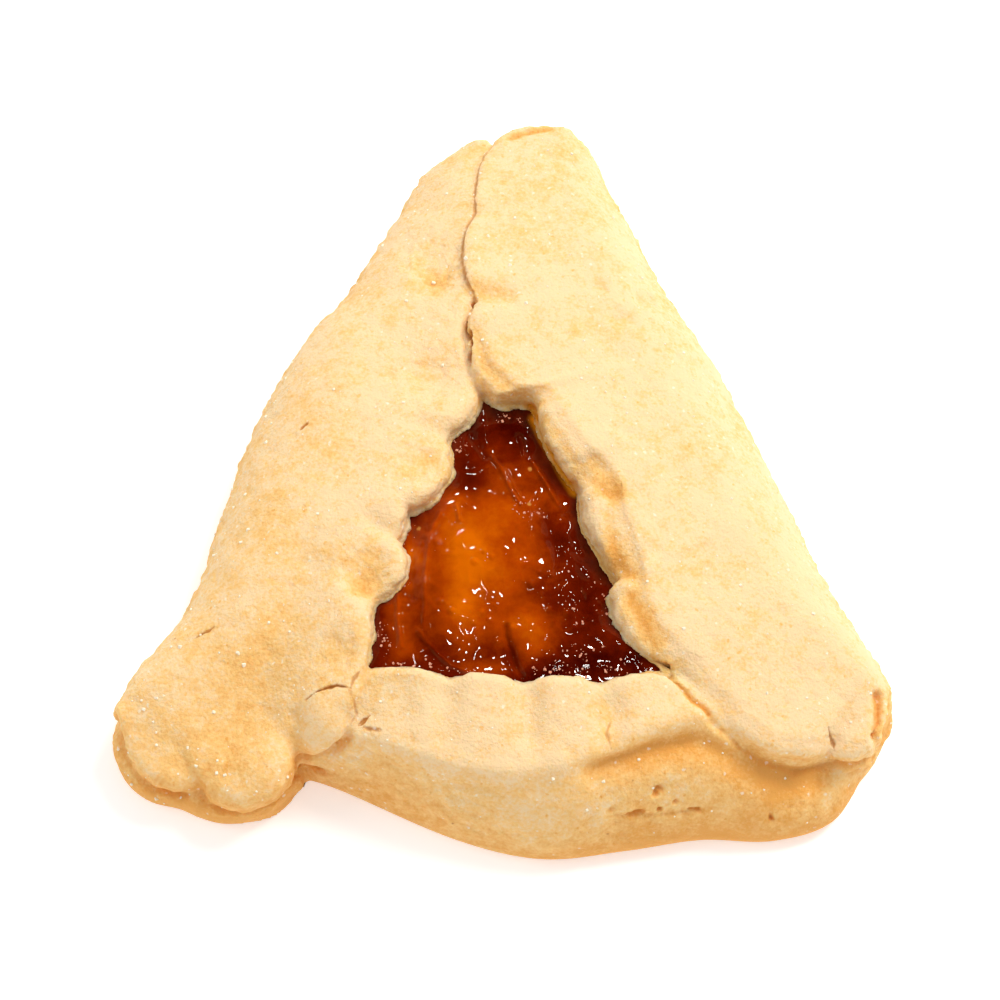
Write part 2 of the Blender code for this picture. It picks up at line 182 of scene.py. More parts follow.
@dataclass(frozen=True)
class Flap:
    """A folded side of the dough, described by stations from corner to corner."""

    name: str
    stations: tuple[Station, ...]
    fattest: float
    tuck: float
    full: float
    flute_width: float
    flute_length: float
    step: float = 0.0
    rim_fade: float = 7.0
    bluntness: float = 0.8
    step_width: float = 0.28
    nearly_upright: float = 0.97
    ragged: float = 0.16
    crumb_sizes: tuple[float, float] = (1.3, 0.6)
    fine_crumbs: float = 0.6
    lobe_fullness: float = 0.8
    shoulder_reach: float = 0.75
    packing: tuple[float, float] = (1.2, 1.15)
    bottom: float = BOTTOM
    pinched: float = 10.4
    pinching: float = 1.2
    overlap: float = 0.2
    steps_a_station: int = 40

    def at(self, count: int) -> Array:
        """Returns count even steps along the stations."""
        return np.linspace(0, len(self.stations) - 1, count)

    def standing(self, at: Array) -> Array:
        """Returns how far the lobes stand out of the rim at each step."""
        between = at - np.floor(at)
        first = np.minimum(at, len(self.stations) - 1.001).astype(int)
        lobes = np.array([station.lobe for station in self.stations])
        return lobes[first] * np.sin(math.pi * between) ** self.lobe_fullness

    def outward(self, fold: Array, rim: Array) -> Array:
        """Returns the plan direction square to the rim and away from the fold, for each row."""
        tangent = np.gradient(rim, axis=0)
        square = np.column_stack([tangent[:, 1], -tangent[:, 0]])
        square /= np.linalg.norm(square, axis=1)[:, None]
        return square * np.sign(np.sum(square * (rim - fold)))

    def rim_line(self, first: float, last: float, count: int = 40) -> Array:
        """Traces the scalloped rim.

        Args:
            first: The station to start from.
            last: The station to end at.
            count: How many points to return.

        Returns:
            Plan points of the rim between the two stations.
        """
        dense = self.steps_a_station * (len(self.stations) - 1) + 1
        at = self.at(dense)
        fold = spline([station.fold for station in self.stations], dense)
        rim = spline([station.rim for station in self.stations], dense)
        line = rim + self.outward(fold, rim) * self.standing(at)[:, None]
        chosen = line[(at >= first) & (at <= last)]
        return evenly(chosen, count)

    def section(self, length: float, numbers: Array, across: int) -> tuple[Array, Array]:
        """Draws one cross-section.

        Args:
            length: The plan distance from the fold to the rim.
            numbers: The shoulder, crest, top and blunt of the section.
            across: How many points to put between the fold and the rim.

        Returns:
            Distances in from the fold, and heights.
        """
        shoulder, crest, top, blunt = numbers
        shoulder = min(shoulder, self.shoulder_reach * length)
        turn = np.linspace(0, math.pi / 2, across // 4)[:-1]
        low = (self.tuck * (1 - np.sin(turn)), self.fattest * (1 - np.cos(turn)))
        near_fold, near_rim = self.packing
        into = length * (1 - (1 - np.linspace(0, 1, across) ** near_fold) ** near_rim)
        roof = crest + (top - crest) * (into - shoulder) / max(length - shoulder, 1.0)
        full = np.clip(into / shoulder, 0, 1)
        rise = (1 - (1 - full) ** self.full) ** (1 / self.full)
        height = self.fattest + (roof - self.fattest) * rise
        past = np.clip((into - (length - blunt)) / blunt, 0, 1)
        rounding = 1 - np.sqrt(1 - self.nearly_upright * past**2)
        cut = ease(past / self.step_width)
        height -= self.bluntness * blunt * ((1 - self.step) * rounding + self.step * cut)
        under = self.bottom * float(ease((self.pinched - top) / self.pinching + 1)) + self.overlap
        return np.concatenate([low[0], into, [length]]), np.concatenate([low[1], height, [under]])

    def rings(self, along: int, across: int) -> list[Array]:
        """Builds the flap's cross-sections.

        Args:
            along: How many sections to make from corner to corner.
            across: How many points to put across each.

        Returns:
            One closed ring of points in millimetres for each section.
        """
        rows, at = self.stations, self.at(along)
        fold = spline([station.fold for station in rows], along)
        rim = spline([station.rim for station in rows], along)
        numbers = spline([(s.shoulder, s.crest, s.top, s.blunt) for s in rows], along)
        way = rim - fold
        lengths = np.maximum(np.linalg.norm(way, axis=1), 1.0)
        way /= lengths[:, None]
        outward = self.outward(fold, rim)
        walked = np.concatenate([[0], np.cumsum(np.linalg.norm(np.diff(rim, axis=0), axis=1))])
        trace = np.column_stack([walked, 0 * walked, 0 * walked])
        coarse, fine = (wander(trace, size, seed) for size, seed in zip(self.crumb_sizes, (3, 4)))
        crumbly = self.ragged * (coarse + self.fine_crumbs * fine)
        standing = self.standing(at) + crumbly
        creases = np.zeros(along)
        for k, row in enumerate(rows):
            creases += row.flute * np.exp(-(((walked - np.interp(k, at, walked)) / self.flute_width) ** 2))
        made = []
        for i, length in enumerate(lengths):
            distance, heights = self.section(length, numbers[i], across)
            from_rim = length - distance
            felt = ease(1 - from_rim / self.flute_length) * (heights > self.bottom)
            heights = heights - creases[i] * felt
            felt = ease(1 - from_rim / min(self.rim_fade, length))
            plan = fold[i] + way[i] * distance[:, None] + outward[i] * (standing[i] * felt)[:, None]
            made.append(np.column_stack([plan, np.maximum(heights, 0)]))
        return made


LEFT = Flap("left_flap", (
    Station((-37.2, -26.4), 2.0, 7.2, (-36.1, -26.8), 6.2, 1.2, 2.5, 0.0),
    Station((-35.3, -22.4), 4.0, 8.6, (-28.6, -33.2), 6.3, 1.3, 3.0, 0.2),
    Station((-31.8, -17.4), 7.0, 10.2, (-19.4, -31.0), 9.0, 1.4, 1.0, 0.4),
    Station((-29.6, -12.8), 8.5, 11.6, (-14.7, -28.8), 11.9, 1.4, 0.2, 0.3),
    Station((-28.6, -9.4), 9.0, 12.4, (-13.0, -24.2), 13.4, 1.4, 0.0, 0.0),
    Station((-28.0, -6.8), 9.3, 12.8, (-12.7, -21.2), 14.0, 1.5, 0.0, 0.0),
    Station((-27.6, -4.8), 9.5, 13.0, (-12.1, -17.5), 14.2, 1.5, 2.1, 0.9),
    Station((-26.6, -0.6), 9.5, 13.2, (-10.3, -11.5), 14.5, 1.5, 0.4, 0.9),
    Station((-26.2, 1.0), 9.5, 13.2, (-9.2, -8.1), 14.6, 1.6, 2.1, 0.0),
    Station((-23.9, 6.8), 9.0, 13.2, (-5.4, -0.4), 14.3, 1.6, 0.5, 0.8),
    Station((-21.4, 11.6), 8.5, 12.8, (-2.3, 4.6), 13.4, 1.4, 0.0, 0.0),
    Station((-19.0, 15.6), 8.0, 12.5, (-3.5, 8.0), 13.4, 1.0, 0.0, 0.0),
    Station((-16.4, 19.2), 7.5, 12.2, (-3.6, 13.2), 13.3, 1.2, 0.0, 0.0),
    Station((-13.2, 24.8), 6.5, 11.4, (-1.2, 20.0), 12.9, 1.5, 0.0, 0.0),
    Station((-11.0, 29.5), 6.0, 10.6, (-0.3, 27.0), 11.9, 1.2, 0.0, 0.0),
    Station((-8.6, 34.0), 5.0, 9.6, (-0.6, 33.0), 10.0, 1.5, 0.0, 0.0),
    Station((-4.6, 37.2), 3.0, 8.6, (-1.2, 36.8), 8.6, 1.0, 0.0, 0.0),
), fattest=4.8, tuck=2.2, full=2.0, flute_width=1.2, flute_length=6.0)

RIGHT = Flap("right_flap", (
    Station((8.0, 37.8), 2.0, 9.4, (5.2, 38.2), 9.4, 0.8, 0.5, 0.0),
    Station((9.9, 36.0), 4.0, 9.8, (-1.2, 35.4), 10.0, 0.8, 0.2, 0.0),
    Station((12.0, 30.4), 5.5, 11.0, (-2.8, 25.6), 12.3, 0.6, 1.2, 0.4),
    Station((16.8, 19.0), 7.0, 12.9, (-2.6, 14.6), 14.4, 0.8, 1.2, 0.7),
    Station((20.6, 12.4), 7.6, 13.4, (-1.3, 4.3), 15.5, 2.2, 0.3, 0.0),
    Station((22.4, 9.2), 8.0, 13.6, (3.1, 3.3), 15.8, 1.8, 1.0, 0.7),
    Station((25.4, 2.4), 8.0, 13.8, (7.0, -5.3), 16.2, 3.4, 0.0, 0.7),
    Station((26.2, 0.4), 8.0, 13.8, (7.4, -8.2), 16.2, 4.3, 0.5, 0.0),
    Station((28.8, -6.0), 8.0, 13.6, (10.6, -15.2), 15.9, 3.2, 0.0, 0.7),
    Station((29.5, -7.8), 7.8, 13.4, (10.4, -17.9), 15.5, 3.6, 1.3, 0.0),
    Station((31.2, -12.4), 7.0, 13.0, (16.7, -24.9), 13.9, 2.0, 0.0, 0.0),
    Station((33.4, -17.0), 5.5, 12.2, (20.0, -28.0), 12.4, 1.6, 1.8, 0.0),
    Station((35.8, -21.4), 4.0, 11.0, (30.4, -31.2), 10.2, 1.6, 2.0, 1.0),
    Station((37.2, -24.4), 2.0, 9.4, (35.9, -26.6), 9.0, 0.8, 0.0, 0.0),
), fattest=4.8, tuck=2.2, full=2.0, flute_width=1.2, flute_length=7.5, step=0.2)

FRONT = Flap("front_flap", (
    Station((-19.4, -31.2), 2.0, 7.4, (-15.5, -27.0), 11.0, 1.0, 0.0, 0.0),
    Station((-15.4, -32.6), 2.6, 10.4, (-12.7, -24.6), 13.0, 1.0, 0.4, 0.6),
    Station((-4.7, -37.4), 3.9, 11.6, (-5.0, -25.5), 13.7, 1.0, 0.6, 0.8),
    Station((3.6, -39.4), 5.3, 11.8, (1.9, -26.1), 13.7, 1.0, 0.7, 0.8),
    Station((11.6, -38.6), 6.2, 12.3, (9.1, -26.0), 13.5, 1.0, 0.8, 0.8),
    Station((18.8, -37.5), 8.2, 12.4, (17.0, -25.6), 12.8, 1.0, 0.0, 0.0),
    Station((25.6, -37.6), 7.0, 10.0, (22.5, -27.0), 10.8, 1.0, 0.0, 0.0),
    Station((31.4, -35.7), 5.0, 8.0, (28.0, -27.5), 8.6, 1.0, 0.0, 0.0),
    Station((34.9, -30.6), 3.0, 6.8, (33.0, -26.5), 7.0, 1.0, 0.0, 0.0),
), fattest=1.8, tuck=1.0, full=1.45, flute_width=1.5, flute_length=9.0)


class MarkKind(Enum):
    """How a mark in the dough is shaped across its width."""

    CRACK = "crack"
    CREASE = "crease"
    PIT = "pit"
    SWELL = "swell"


@dataclass(frozen=True)
class Mark:
    """A crack, crease, pit or swelling in the dough's surface, along a path or at a point."""

    kind: MarkKind
    path: tuple[tuple[float, ...], ...]
    width: float
    depth: float
    # How much browner the mark makes the crust; for creases under rims, cut edges and the front crest this
    # is painted shade.
    browns_and_shades: float = 0.0
    narrow_ends: float = 0.25
    uneven: float = 0.5
    crooked: tuple[tuple[float, float, int], ...] = ((0.12, 0.5, 9), (0.08, 1.4, 10))
    torn_rim: float = 0.2

    def shape(self, places: Array) -> Array:
        """Finds how strongly the mark is felt.

        Args:
            places: Points on the surface, in millimetres.

        Returns:
            1 in the middle of the mark and 0 away from it.
        """
        path = np.array(self.path, float)
        felt = np.zeros(len(places))
        reach = np.linalg.norm(path - path.mean(axis=0), axis=1).max() + 3 * self.width + 1
        near = np.linalg.norm(places[:, :path.shape[1]] - path.mean(axis=0), axis=1) < reach
        spots = places[near]
        if self.kind is MarkKind.CRACK:
            apart, share = along_path(path, spots)
            tapering = np.sin(math.pi * np.clip(share, 0.04, 0.96)) ** 0.6
            open_here = self.narrow_ends + (1 - self.narrow_ends) * tapering
            width = self.width * open_here * (1 + self.uneven * wander(spots, 1.1, 8))
            for sideways, size, seed in self.crooked:
                apart = apart + sideways * wander(spots, size, seed)
            felt[near] = np.clip(1 - np.abs(apart) / width, 0, 1) * open_here
        elif self.kind is MarkKind.PIT:
            apart = distance_to(path, spots)
            torn = self.torn_rim * self.width * wander(spots, 0.7, 5)
            felt[near] = 1 - ease((apart + torn) / self.width)
        else:
            felt[near] = np.exp(-((distance_to(path, spots) / self.width) ** 2))
        return felt


def seam(flap: Flap, first: float, last: float) -> tuple[tuple[float, ...], ...]:
    """Returns the rim of a flap between two stations as a mark's path."""
    return tuple(tuple(point) for point in flap.rim_line(first, last))


MARKS = (
    # Seams, where one flap lies on the next
    Mark(MarkKind.CRACK, seam(RIGHT, 1.0, 3.1), 0.26, 0.18, 0.6),
    Mark(MarkKind.CREASE, ((15.0, -24.5), (15.8, -25.3), (16.7, -26.4), (17.6, -27.7), (18.5, -28.2),
                           (19.2, -28.8)), 0.28, 0.45, 1.3),
    # Lines of shade, where a rim stands out over the dough below it: real creases, and their brown is
    # painted shade
    Mark(MarkKind.CREASE, ((-19.3, -31.7, 6.6), (-17.4, -31.4, 7.0), (-15.9, -31.0, 8.2),
                           (-14.4, -30.2, 9.8)), 0.55, 0.9, 0.45),
    Mark(MarkKind.CREASE, tuple((*point, 3.9) for point in LEFT.rim_line(0.1, 2.6)), 0.50, 0.7, 0.4),
    Mark(MarkKind.CREASE, ((19.4, -29.4, 11.6), (22.0, -31.1, 10.2), (24.4, -32.5, 8.8), (27.8, -33.1, 7.4),
                           (30.7, -32.1, 6.9), (32.6, -32.1, 6.9), (34.7, -31.0, 5.8)), 0.55, 0.7, 0.4),
    Mark(MarkKind.CREASE, ((35.2, -26.4), (35.3, -27.6), (35.2, -29.0), (34.9, -30.2)), 0.45, 0.9, 0.8),
    Mark(MarkKind.CREASE, ((36.3, -25.7, 7.5), (36.6, -27.0, 5.8), (36.3, -28.3, 5.0)), 1.6, 0.2, 0.7),
    # The upper edge of the right flap's cut face, with painted shade in the brown of its creases
    Mark(MarkKind.CREASE, ((-2.9, 10.8), (-1.9, 6.9), (0.5, 3.9), (3.6, 2.3)), 0.8, 0.25, 0.55),
    Mark(MarkKind.CREASE, ((4.1, 0.5), (6.4, -3.4), (8.0, -5.5), (10.6, -7.9)), 0.6, 0.22, 0.50),
    Mark(MarkKind.CREASE, ((9.8, -9.3), (10.1, -10.9), (10.7, -14.6), (13.0, -16.5)), 0.6, 0.22, 0.50),
    Mark(MarkKind.CREASE, ((11.9, -18.0), (13.0, -20.9), (14.4, -23.3), (16.4, -24.3)), 0.6, 0.22, 0.50),
    # Hollows of the cut face, painted tan as shade
    Mark(MarkKind.CREASE, ((8.6, -4.1), (10.1, -6.3), (10.9, -7.2)), 1.0, 0.15, 0.85),
    Mark(MarkKind.CREASE, ((10.2, -13.0), (10.8, -14.1), (11.6, -15.2)), 1.0, 0.15, 0.90),
    Mark(MarkKind.CREASE, ((12.1, -18.2), (12.8, -19.4), (13.6, -20.7), (14.6, -22.2)), 0.9, 0.1, 0.75),
    # The wall under the crest of the front flap, darkened with painted shade, and the crest above it
    Mark(MarkKind.CREASE, ((8.9, -34.2, 11.2), (11.8, -33.3, 11.3), (14.7, -32.4, 11.4),
                           (18.0, -31.7, 11.0), (20.6, -32.2, 10.0), (23.6, -33.1, 8.6),
                           (26.6, -33.9, 7.3), (29.8, -33.4, 6.5)), 1.5, 1.0, 0.8),
    Mark(MarkKind.CREASE, ((12.7, -34.2, 10.1), (16.4, -33.2, 10.2), (20.2, -33.4, 9.0), (24.0, -34.4, 7.3),
                           (26.4, -34.6, 6.4)), 3.2, 0.3, 0.70),
    Mark(MarkKind.SWELL, ((8.9, -32.6), (11.8, -31.0), (14.7, -29.9), (17.6, -29.2)), 1.5, 0.35),
    # Cracks that opened in the oven
    Mark(MarkKind.CRACK, ((-3.5, 12.7), (-3.6, 11.2), (-3.3, 9.3), (-3.3, 7.3)), 0.24, 0.72, 1.0),
    Mark(MarkKind.CRACK, ((-18.4, -27.1), (-17.3, -26.5), (-16.4, -26.3), (-15.4, -26.2), (-14.2, -26.5)),
         0.20, 0.42, 0.9),
    Mark(MarkKind.CRACK, ((-14.2, -26.5), (-13.9, -25.6), (-13.2, -24.6)), 0.18, 0.12, 0.6),
    Mark(MarkKind.CRACK, ((-14.4, -26.5), (-14.0, -27.4), (-13.7, -28.4), (-14.3, -29.4)), 0.18, 0.12, 0.3),
    Mark(MarkKind.CRACK, ((-13.5, -29.5), (-12.9, -29.1), (-12.5, -28.8)), 0.22, 0.24, 0.9),
    Mark(MarkKind.CRACK, ((-13.0, -29.8), (-12.3, -30.0), (-11.5, -30.2)), 0.22, 0.24, 0.6),
    Mark(MarkKind.CRACK, ((10.0, -29.4), (9.6, -30.9), (10.0, -32.2)), 0.18, 0.18, 0.4),
    Mark(MarkKind.CRACK, ((-19.8, 0.7), (-19.4, 1.1), (-19.0, 1.4)), 0.24, 0.18, 0.9),
    Mark(MarkKind.CRACK, ((-29.3, -20.3), (-28.6, -19.9), (-28.2, -19.8), (-27.5, -19.4)), 0.20, 0.24, 0.8),
    Mark(MarkKind.CRACK, ((30.4, -29.6), (30.8, -30.4), (31.0, -31.2)), 0.20, 0.21, 0.7),
    Mark(MarkKind.CREASE, ((0.8, 36.2), (2.8, 37.0), (5.0, 37.6)), 0.40, 0.3, 0.9),
    # Soft creases and hollows
    Mark(MarkKind.CREASE, ((-2.7, 15.9), (-1.5, 15.2), (0.6, 14.4)), 0.9, 0.4, 0.30),
    Mark(MarkKind.CREASE, ((-28.4, -34.8), (-28.0, -33.2), (-27.6, -32.4)), 0.6, 0.25, 0.35),
    Mark(MarkKind.CREASE, ((-19.0, -32.0), (-19.4, -30.2), (-19.6, -28.4)), 0.9, 0.4, 0.3),
    Mark(MarkKind.CREASE, ((-18.6, -14.5), (-20.7, -18.1), (-22.4, -24.6), (-24.4, -29.0)), 3.0, 0.8, 0.25),
    Mark(MarkKind.CREASE, ((-9.2, -28.6), (-9.6, -26.4)), 1.6, 0.45, 0.25),
    Mark(MarkKind.CREASE, ((-13.0, -32.0), (-7.7, -34.4), (0.1, -36.0), (5.2, -35.4), (10.0, -34.0),
                           (14.5, -32.2), (19.0, -30.6)), 1.2, 0.35, 0.22),
    Mark(MarkKind.CREASE, ((2.6, -27.6), (2.4, -31.0)), 1.3, 0.3, 0.18),
    Mark(MarkKind.CREASE, ((-5.4, -27.4), (-5.8, -31.0)), 1.3, 0.3, 0.18),
    Mark(MarkKind.CREASE, ((10.2, -28.6), (10.0, -32.0)), 1.3, 0.3, 0.20),
    Mark(MarkKind.PIT, ((-6.6, 17.6),), 2.8, 0.5, 0.75),
    Mark(MarkKind.PIT, ((-13.4, -16.4),), 1.9, 0.25, 0.70),
    Mark(MarkKind.PIT, ((-7.2, 6.4),), 4.2, 0.8, 0.15),
    Mark(MarkKind.PIT, ((-7.6, -3.4),), 3.8, 0.7, 0.3),
    Mark(MarkKind.PIT, ((-12.8, -14.9),), 3.6, 0.7, 0.35),
    Mark(MarkKind.PIT, ((-15.3, -23.0),), 3.2, 0.5, 0.4),
    Mark(MarkKind.PIT, ((-7.0, 20.6),), 4.2, 0.6, 0.15),
    Mark(MarkKind.PIT, ((-25.4, -33.0),), 3.4, 0.3, 0.35),
    Mark(MarkKind.PIT, ((-29.6, -29.6),), 6.0, 0.1, 0.10),
    Mark(MarkKind.PIT, ((11.9, 12.8),), 2.0, 0.4, 0.2),
    Mark(MarkKind.PIT, ((9.7, 16.5),), 1.4, 0.3, 0.2),
    Mark(MarkKind.PIT, ((14.2, 15.4),), 1.6, 0.35, 0.2),
    Mark(MarkKind.SWELL, ((-16.6, -28.4),), 1.8, 0.6),
    Mark(MarkKind.SWELL, ((-23.4, -31.8),), 2.6, 0.4),
    Mark(MarkKind.SWELL, ((-31.4, -28.4),), 3.4, 0.4),
    Mark(MarkKind.SWELL, ((-13.6, -20.6), (-15.6, -26.0)), 2.2, 0.3),
    # Pores in the front wall
    Mark(MarkKind.PIT, ((14.6, -35.1, 8.3),), 0.75, 0.7, 0.6),
    Mark(MarkKind.PIT, ((14.3, -35.5, 7.9),), 0.5, 0.5, 0.5),
    Mark(MarkKind.PIT, ((13.0, -36.7, 6.4), (12.4, -36.8, 6.4)), 0.55, 0.6, 0.6),
    Mark(MarkKind.PIT, ((14.7, -36.4, 6.4),), 0.45, 0.5, 0.7),
    Mark(MarkKind.PIT, ((11.9, -36.8, 6.4),), 0.45, 0.4, 0.4),
    Mark(MarkKind.PIT, ((18.3, -36.2, 5.7), (17.6, -36.2, 5.8)), 0.45, 0.5, 0.5),
    Mark(MarkKind.PIT, ((25.1, -36.3, 5.2), (25.3, -36.6, 4.4)), 0.38, 0.6, 0.9),
    Mark(MarkKind.PIT, ((10.1, -36.6, 7.3),), 0.6, 0.3, 0.3),
    Mark(MarkKind.PIT, ((16.2, -35.8, 6.9),), 0.5, 0.3, 0.3),
    Mark(MarkKind.CREASE, ((10.4, -37.0, 6.6), (12.8, -36.9, 6.1), (15.5, -36.6, 5.7), (18.5, -36.2, 5.6)),
         0.35, 0.2, 0.25),
)


def link(mesh: bmesh.types.BMesh, name: str) -> bpy.types.Object:
    """Turns a finished mesh into an object of the scene, and frees it."""
    data = bpy.data.meshes.new(name)
    mesh.to_mesh(data)
    mesh.free()
    made = bpy.data.objects.new(name, data)
    bpy.context.scene.collection.objects.link(made)
    return made


def rings_object(name: str, rings: Sequence[Array]) -> bpy.types.Object:
    """Skins a stack of rings, with a fan on the first and the last.

    Args:
        name: The object's name.
        rings: Closed rings of points in millimetres, all of one length.

    Returns:
        A closed object whose faces point outwards.
    """
    mesh = bmesh.new()
    loops = [[mesh.verts.new(Vector(p) * MM) for p in ring] for ring in rings]
    count = len(loops[0])
    for low, high in zip(loops, loops[1:]):
        for i in range(count):
            j = (i + 1) % count
            mesh.faces.new((low[i], low[j], high[j], high[i]))
    for ring in (loops[0], loops[-1]):
        middle = mesh.verts.new(sum((v.co for v in ring), Vector()) / count)
        for i in range(count):
            mesh.faces.new((ring[i], ring[(i + 1) % count], middle))
    bmesh.ops.recalc_face_normals(mesh, faces=mesh.faces)
    if mesh.calc_volume(signed=True) < 0:
        bmesh.ops.reverse_faces(mesh, faces=mesh.faces)
    return link(mesh, name)


def joined(name: str, parts: Iterable[bpy.types.Object]) -> bpy.types.Object:
    """Puts the meshes of several objects into one, and removes the objects."""
    mesh = bmesh.new()
    for part in parts:
        mesh.from_mesh(part.data)
        bpy.data.objects.remove(part)
    return link(mesh, name)


def apply_modifiers(target: bpy.types.Object) -> None:
    """Replaces an object's mesh with the one that its modifiers make."""
    graph = bpy.context.evaluated_depsgraph_get()
    data = bpy.data.meshes.new_from_object(target.evaluated_get(graph))
    target.modifiers.clear()
    target.data = data


def places_of(target: bpy.types.Object) -> Array:
    """Returns an object's vertices in millimetres, one to a row."""
    places = np.empty(len(target.data.vertices) * 3)
    target.data.vertices.foreach_get("co", places)
    return places.reshape(-1, 3) / MM


def normals_of(target: bpy.types.Object) -> Array:
    """Returns an object's vertex normals, one to a row."""
    normals = np.empty(len(target.data.vertices) * 3)
    target.data.vertices.foreach_get("normal", normals)
    return normals.reshape(-1, 3)


def set_places(target: bpy.types.Object, places: Array) -> None:
    """Moves an object's vertices to places, which are in millimetres."""
    target.data.vertices.foreach_set("co", (places * MM).ravel())
    target.data.update()


def set_attribute(target: bpy.types.Object, name: str, values: Array) -> None:
    """Stores one number for each vertex of an object under a name that its material reads."""
    attribute = target.data.attributes.new(name, "FLOAT", "POINT")
    attribute.data.foreach_set("value", values.astype(np.float32))


class NodeTree:
    """A short way to fill a material's or a world's node tree."""

    tears_a_cell: float = 2.6
    torn_by: float = 2.4

    def __init__(self, owner: bpy.types.Material | bpy.types.World) -> None:
        """Takes over the owner's tree and empties it."""
        owner.use_nodes = True
        self.tree = owner.node_tree
        self.tree.nodes.clear()

    def add(self, kind: str, inputs: dict | None = None, **settings: object) -> bpy.types.Node:
        """Adds a node.

        Args:
            kind: The node's type, such as ShaderNodeMix.
            inputs: Values or sockets for inputs, by name or number.
            **settings: Properties of the node itself.

        Returns:
            The new node.
        """
        node = self.tree.nodes.new(kind)
        for key, value in settings.items():
            setattr(node, key, value)
        for key, value in (inputs or {}).items():
            if isinstance(value, bpy.types.NodeSocket):
                self.tree.links.new(value, node.inputs[key])
            else:
                node.inputs[key].default_value = value
        return node

    def noise(self, scale_mm: float, detail: float = 3.0, roughness: float = 0.5) -> bpy.types.NodeSocket:
        """Returns a noise value whose lumps are about scale_mm wide, in object space."""
        where = self.add("ShaderNodeTexCoord").outputs["Object"]
        node = self.add("ShaderNodeTexNoise", {"Vector": where, "Scale": 1 / (scale_mm * MM),
                                               "Detail": detail, "Roughness": roughness})
        return node.outputs["Fac"]

    def spots(self, spacing_mm: float, size: float, share: float) -> bpy.types.NodeSocket:
        """Scatters ragged spots.

        Args:
            spacing_mm: The width of the cell that each spot may stand in.
            size: The spot's radius, as a share of the cell.
            share: The share of cells that hold a spot.

        Returns:
            1 inside a spot and 0 outside, as a socket.
        """
        where = self.add("ShaderNodeTexCoord").outputs["Object"]
        torn = self.add("ShaderNodeTexNoise", {"Vector": where,
                                               "Scale": self.tears_a_cell / (spacing_mm * MM)})
        shift = self.add("ShaderNodeVectorMath", {0: torn.outputs["Color"], 1: (0.5, 0.5, 0.5)},
                         operation="SUBTRACT")
        reach = size * spacing_mm * MM * self.torn_by
        spread = self.add("ShaderNodeVectorMath", {0: shift.outputs[0], "Scale": reach}, operation="SCALE")
        bent = self.add("ShaderNodeVectorMath", {0: where, 1: spread.outputs[0]}, operation="ADD")
        cells = self.add("ShaderNodeTexVoronoi", {"Vector": bent.outputs[0],
                                                  "Scale": 1 / (spacing_mm * MM)})
        near = self.add("ShaderNodeMapRange", {"Value": cells.outputs["Distance"], "From Min": size,
                                               "From Max": size * 0.5, "To Min": 0.0, "To Max": 1.0})
        draw = self.add("ShaderNodeSeparateColor", {"Color": cells.outputs["Color"]})
        kept = self.math("LESS_THAN", draw.outputs["Red"], share)
        return self.math("MULTIPLY", near.outputs["Result"], kept)

    def math(self, operation: str, first: object, second: object) -> bpy.types.NodeSocket:
        """Returns the result of a two-input Math node."""
        return self.add("ShaderNodeMath", {0: first, 1: second}, operation=operation).outputs[0]

    def stored(self, name: str) -> bpy.types.NodeSocket:
        """Returns the number that the mesh stores under a name."""
        return self.add("ShaderNodeAttribute", attribute_name=name).outputs["Fac"]

    def swing(self, amount: float, scale_mm: float, detail: float,
              roughness: float = 0.5) -> bpy.types.NodeSocket:
        """Returns noise that swings about zero, by half the amount at most to each side."""
        about_zero = self.math("SUBTRACT", self.noise(scale_mm, detail, roughness), 0.5)
        return self.math("MULTIPLY", about_zero, amount)

    def ramp(self, value: bpy.types.NodeSocket,
             stops: Sequence[tuple[float, Colour]]) -> bpy.types.NodeSocket:
        """Returns a colour read from stops, each a position and a colour, at a value."""
        node = self.add("ShaderNodeValToRGB", {"Fac": value})
        elements = node.color_ramp.elements
        while len(elements) < len(stops):
            elements.new(0.5)
        for element, (position, colour) in zip(elements, stops):
            element.position = position
            element.color = (*colour, 1)
        return node.outputs["Color"]

    def mix(self, share: object, first: object, second: object) -> bpy.types.NodeSocket:
        """Returns two colours mixed by a share of the second."""
        node = self.add("ShaderNodeMix", data_type="RGBA")
        for socket, value in zip((node.inputs[0], node.inputs[6], node.inputs[7]), (share, first, second)):
            if isinstance(value, bpy.types.NodeSocket):
                self.tree.links.new(value, socket)
            else:
                socket.default_value = (*value, 1) if isinstance(value, tuple) else value
        return node.outputs[2]

    def surface(self, shader: bpy.types.Node, kind: str = "ShaderNodeOutputMaterial") -> None:
        """Makes a shader the tree's surface."""
        self.add(kind, {"Surface": shader.outputs[0]})


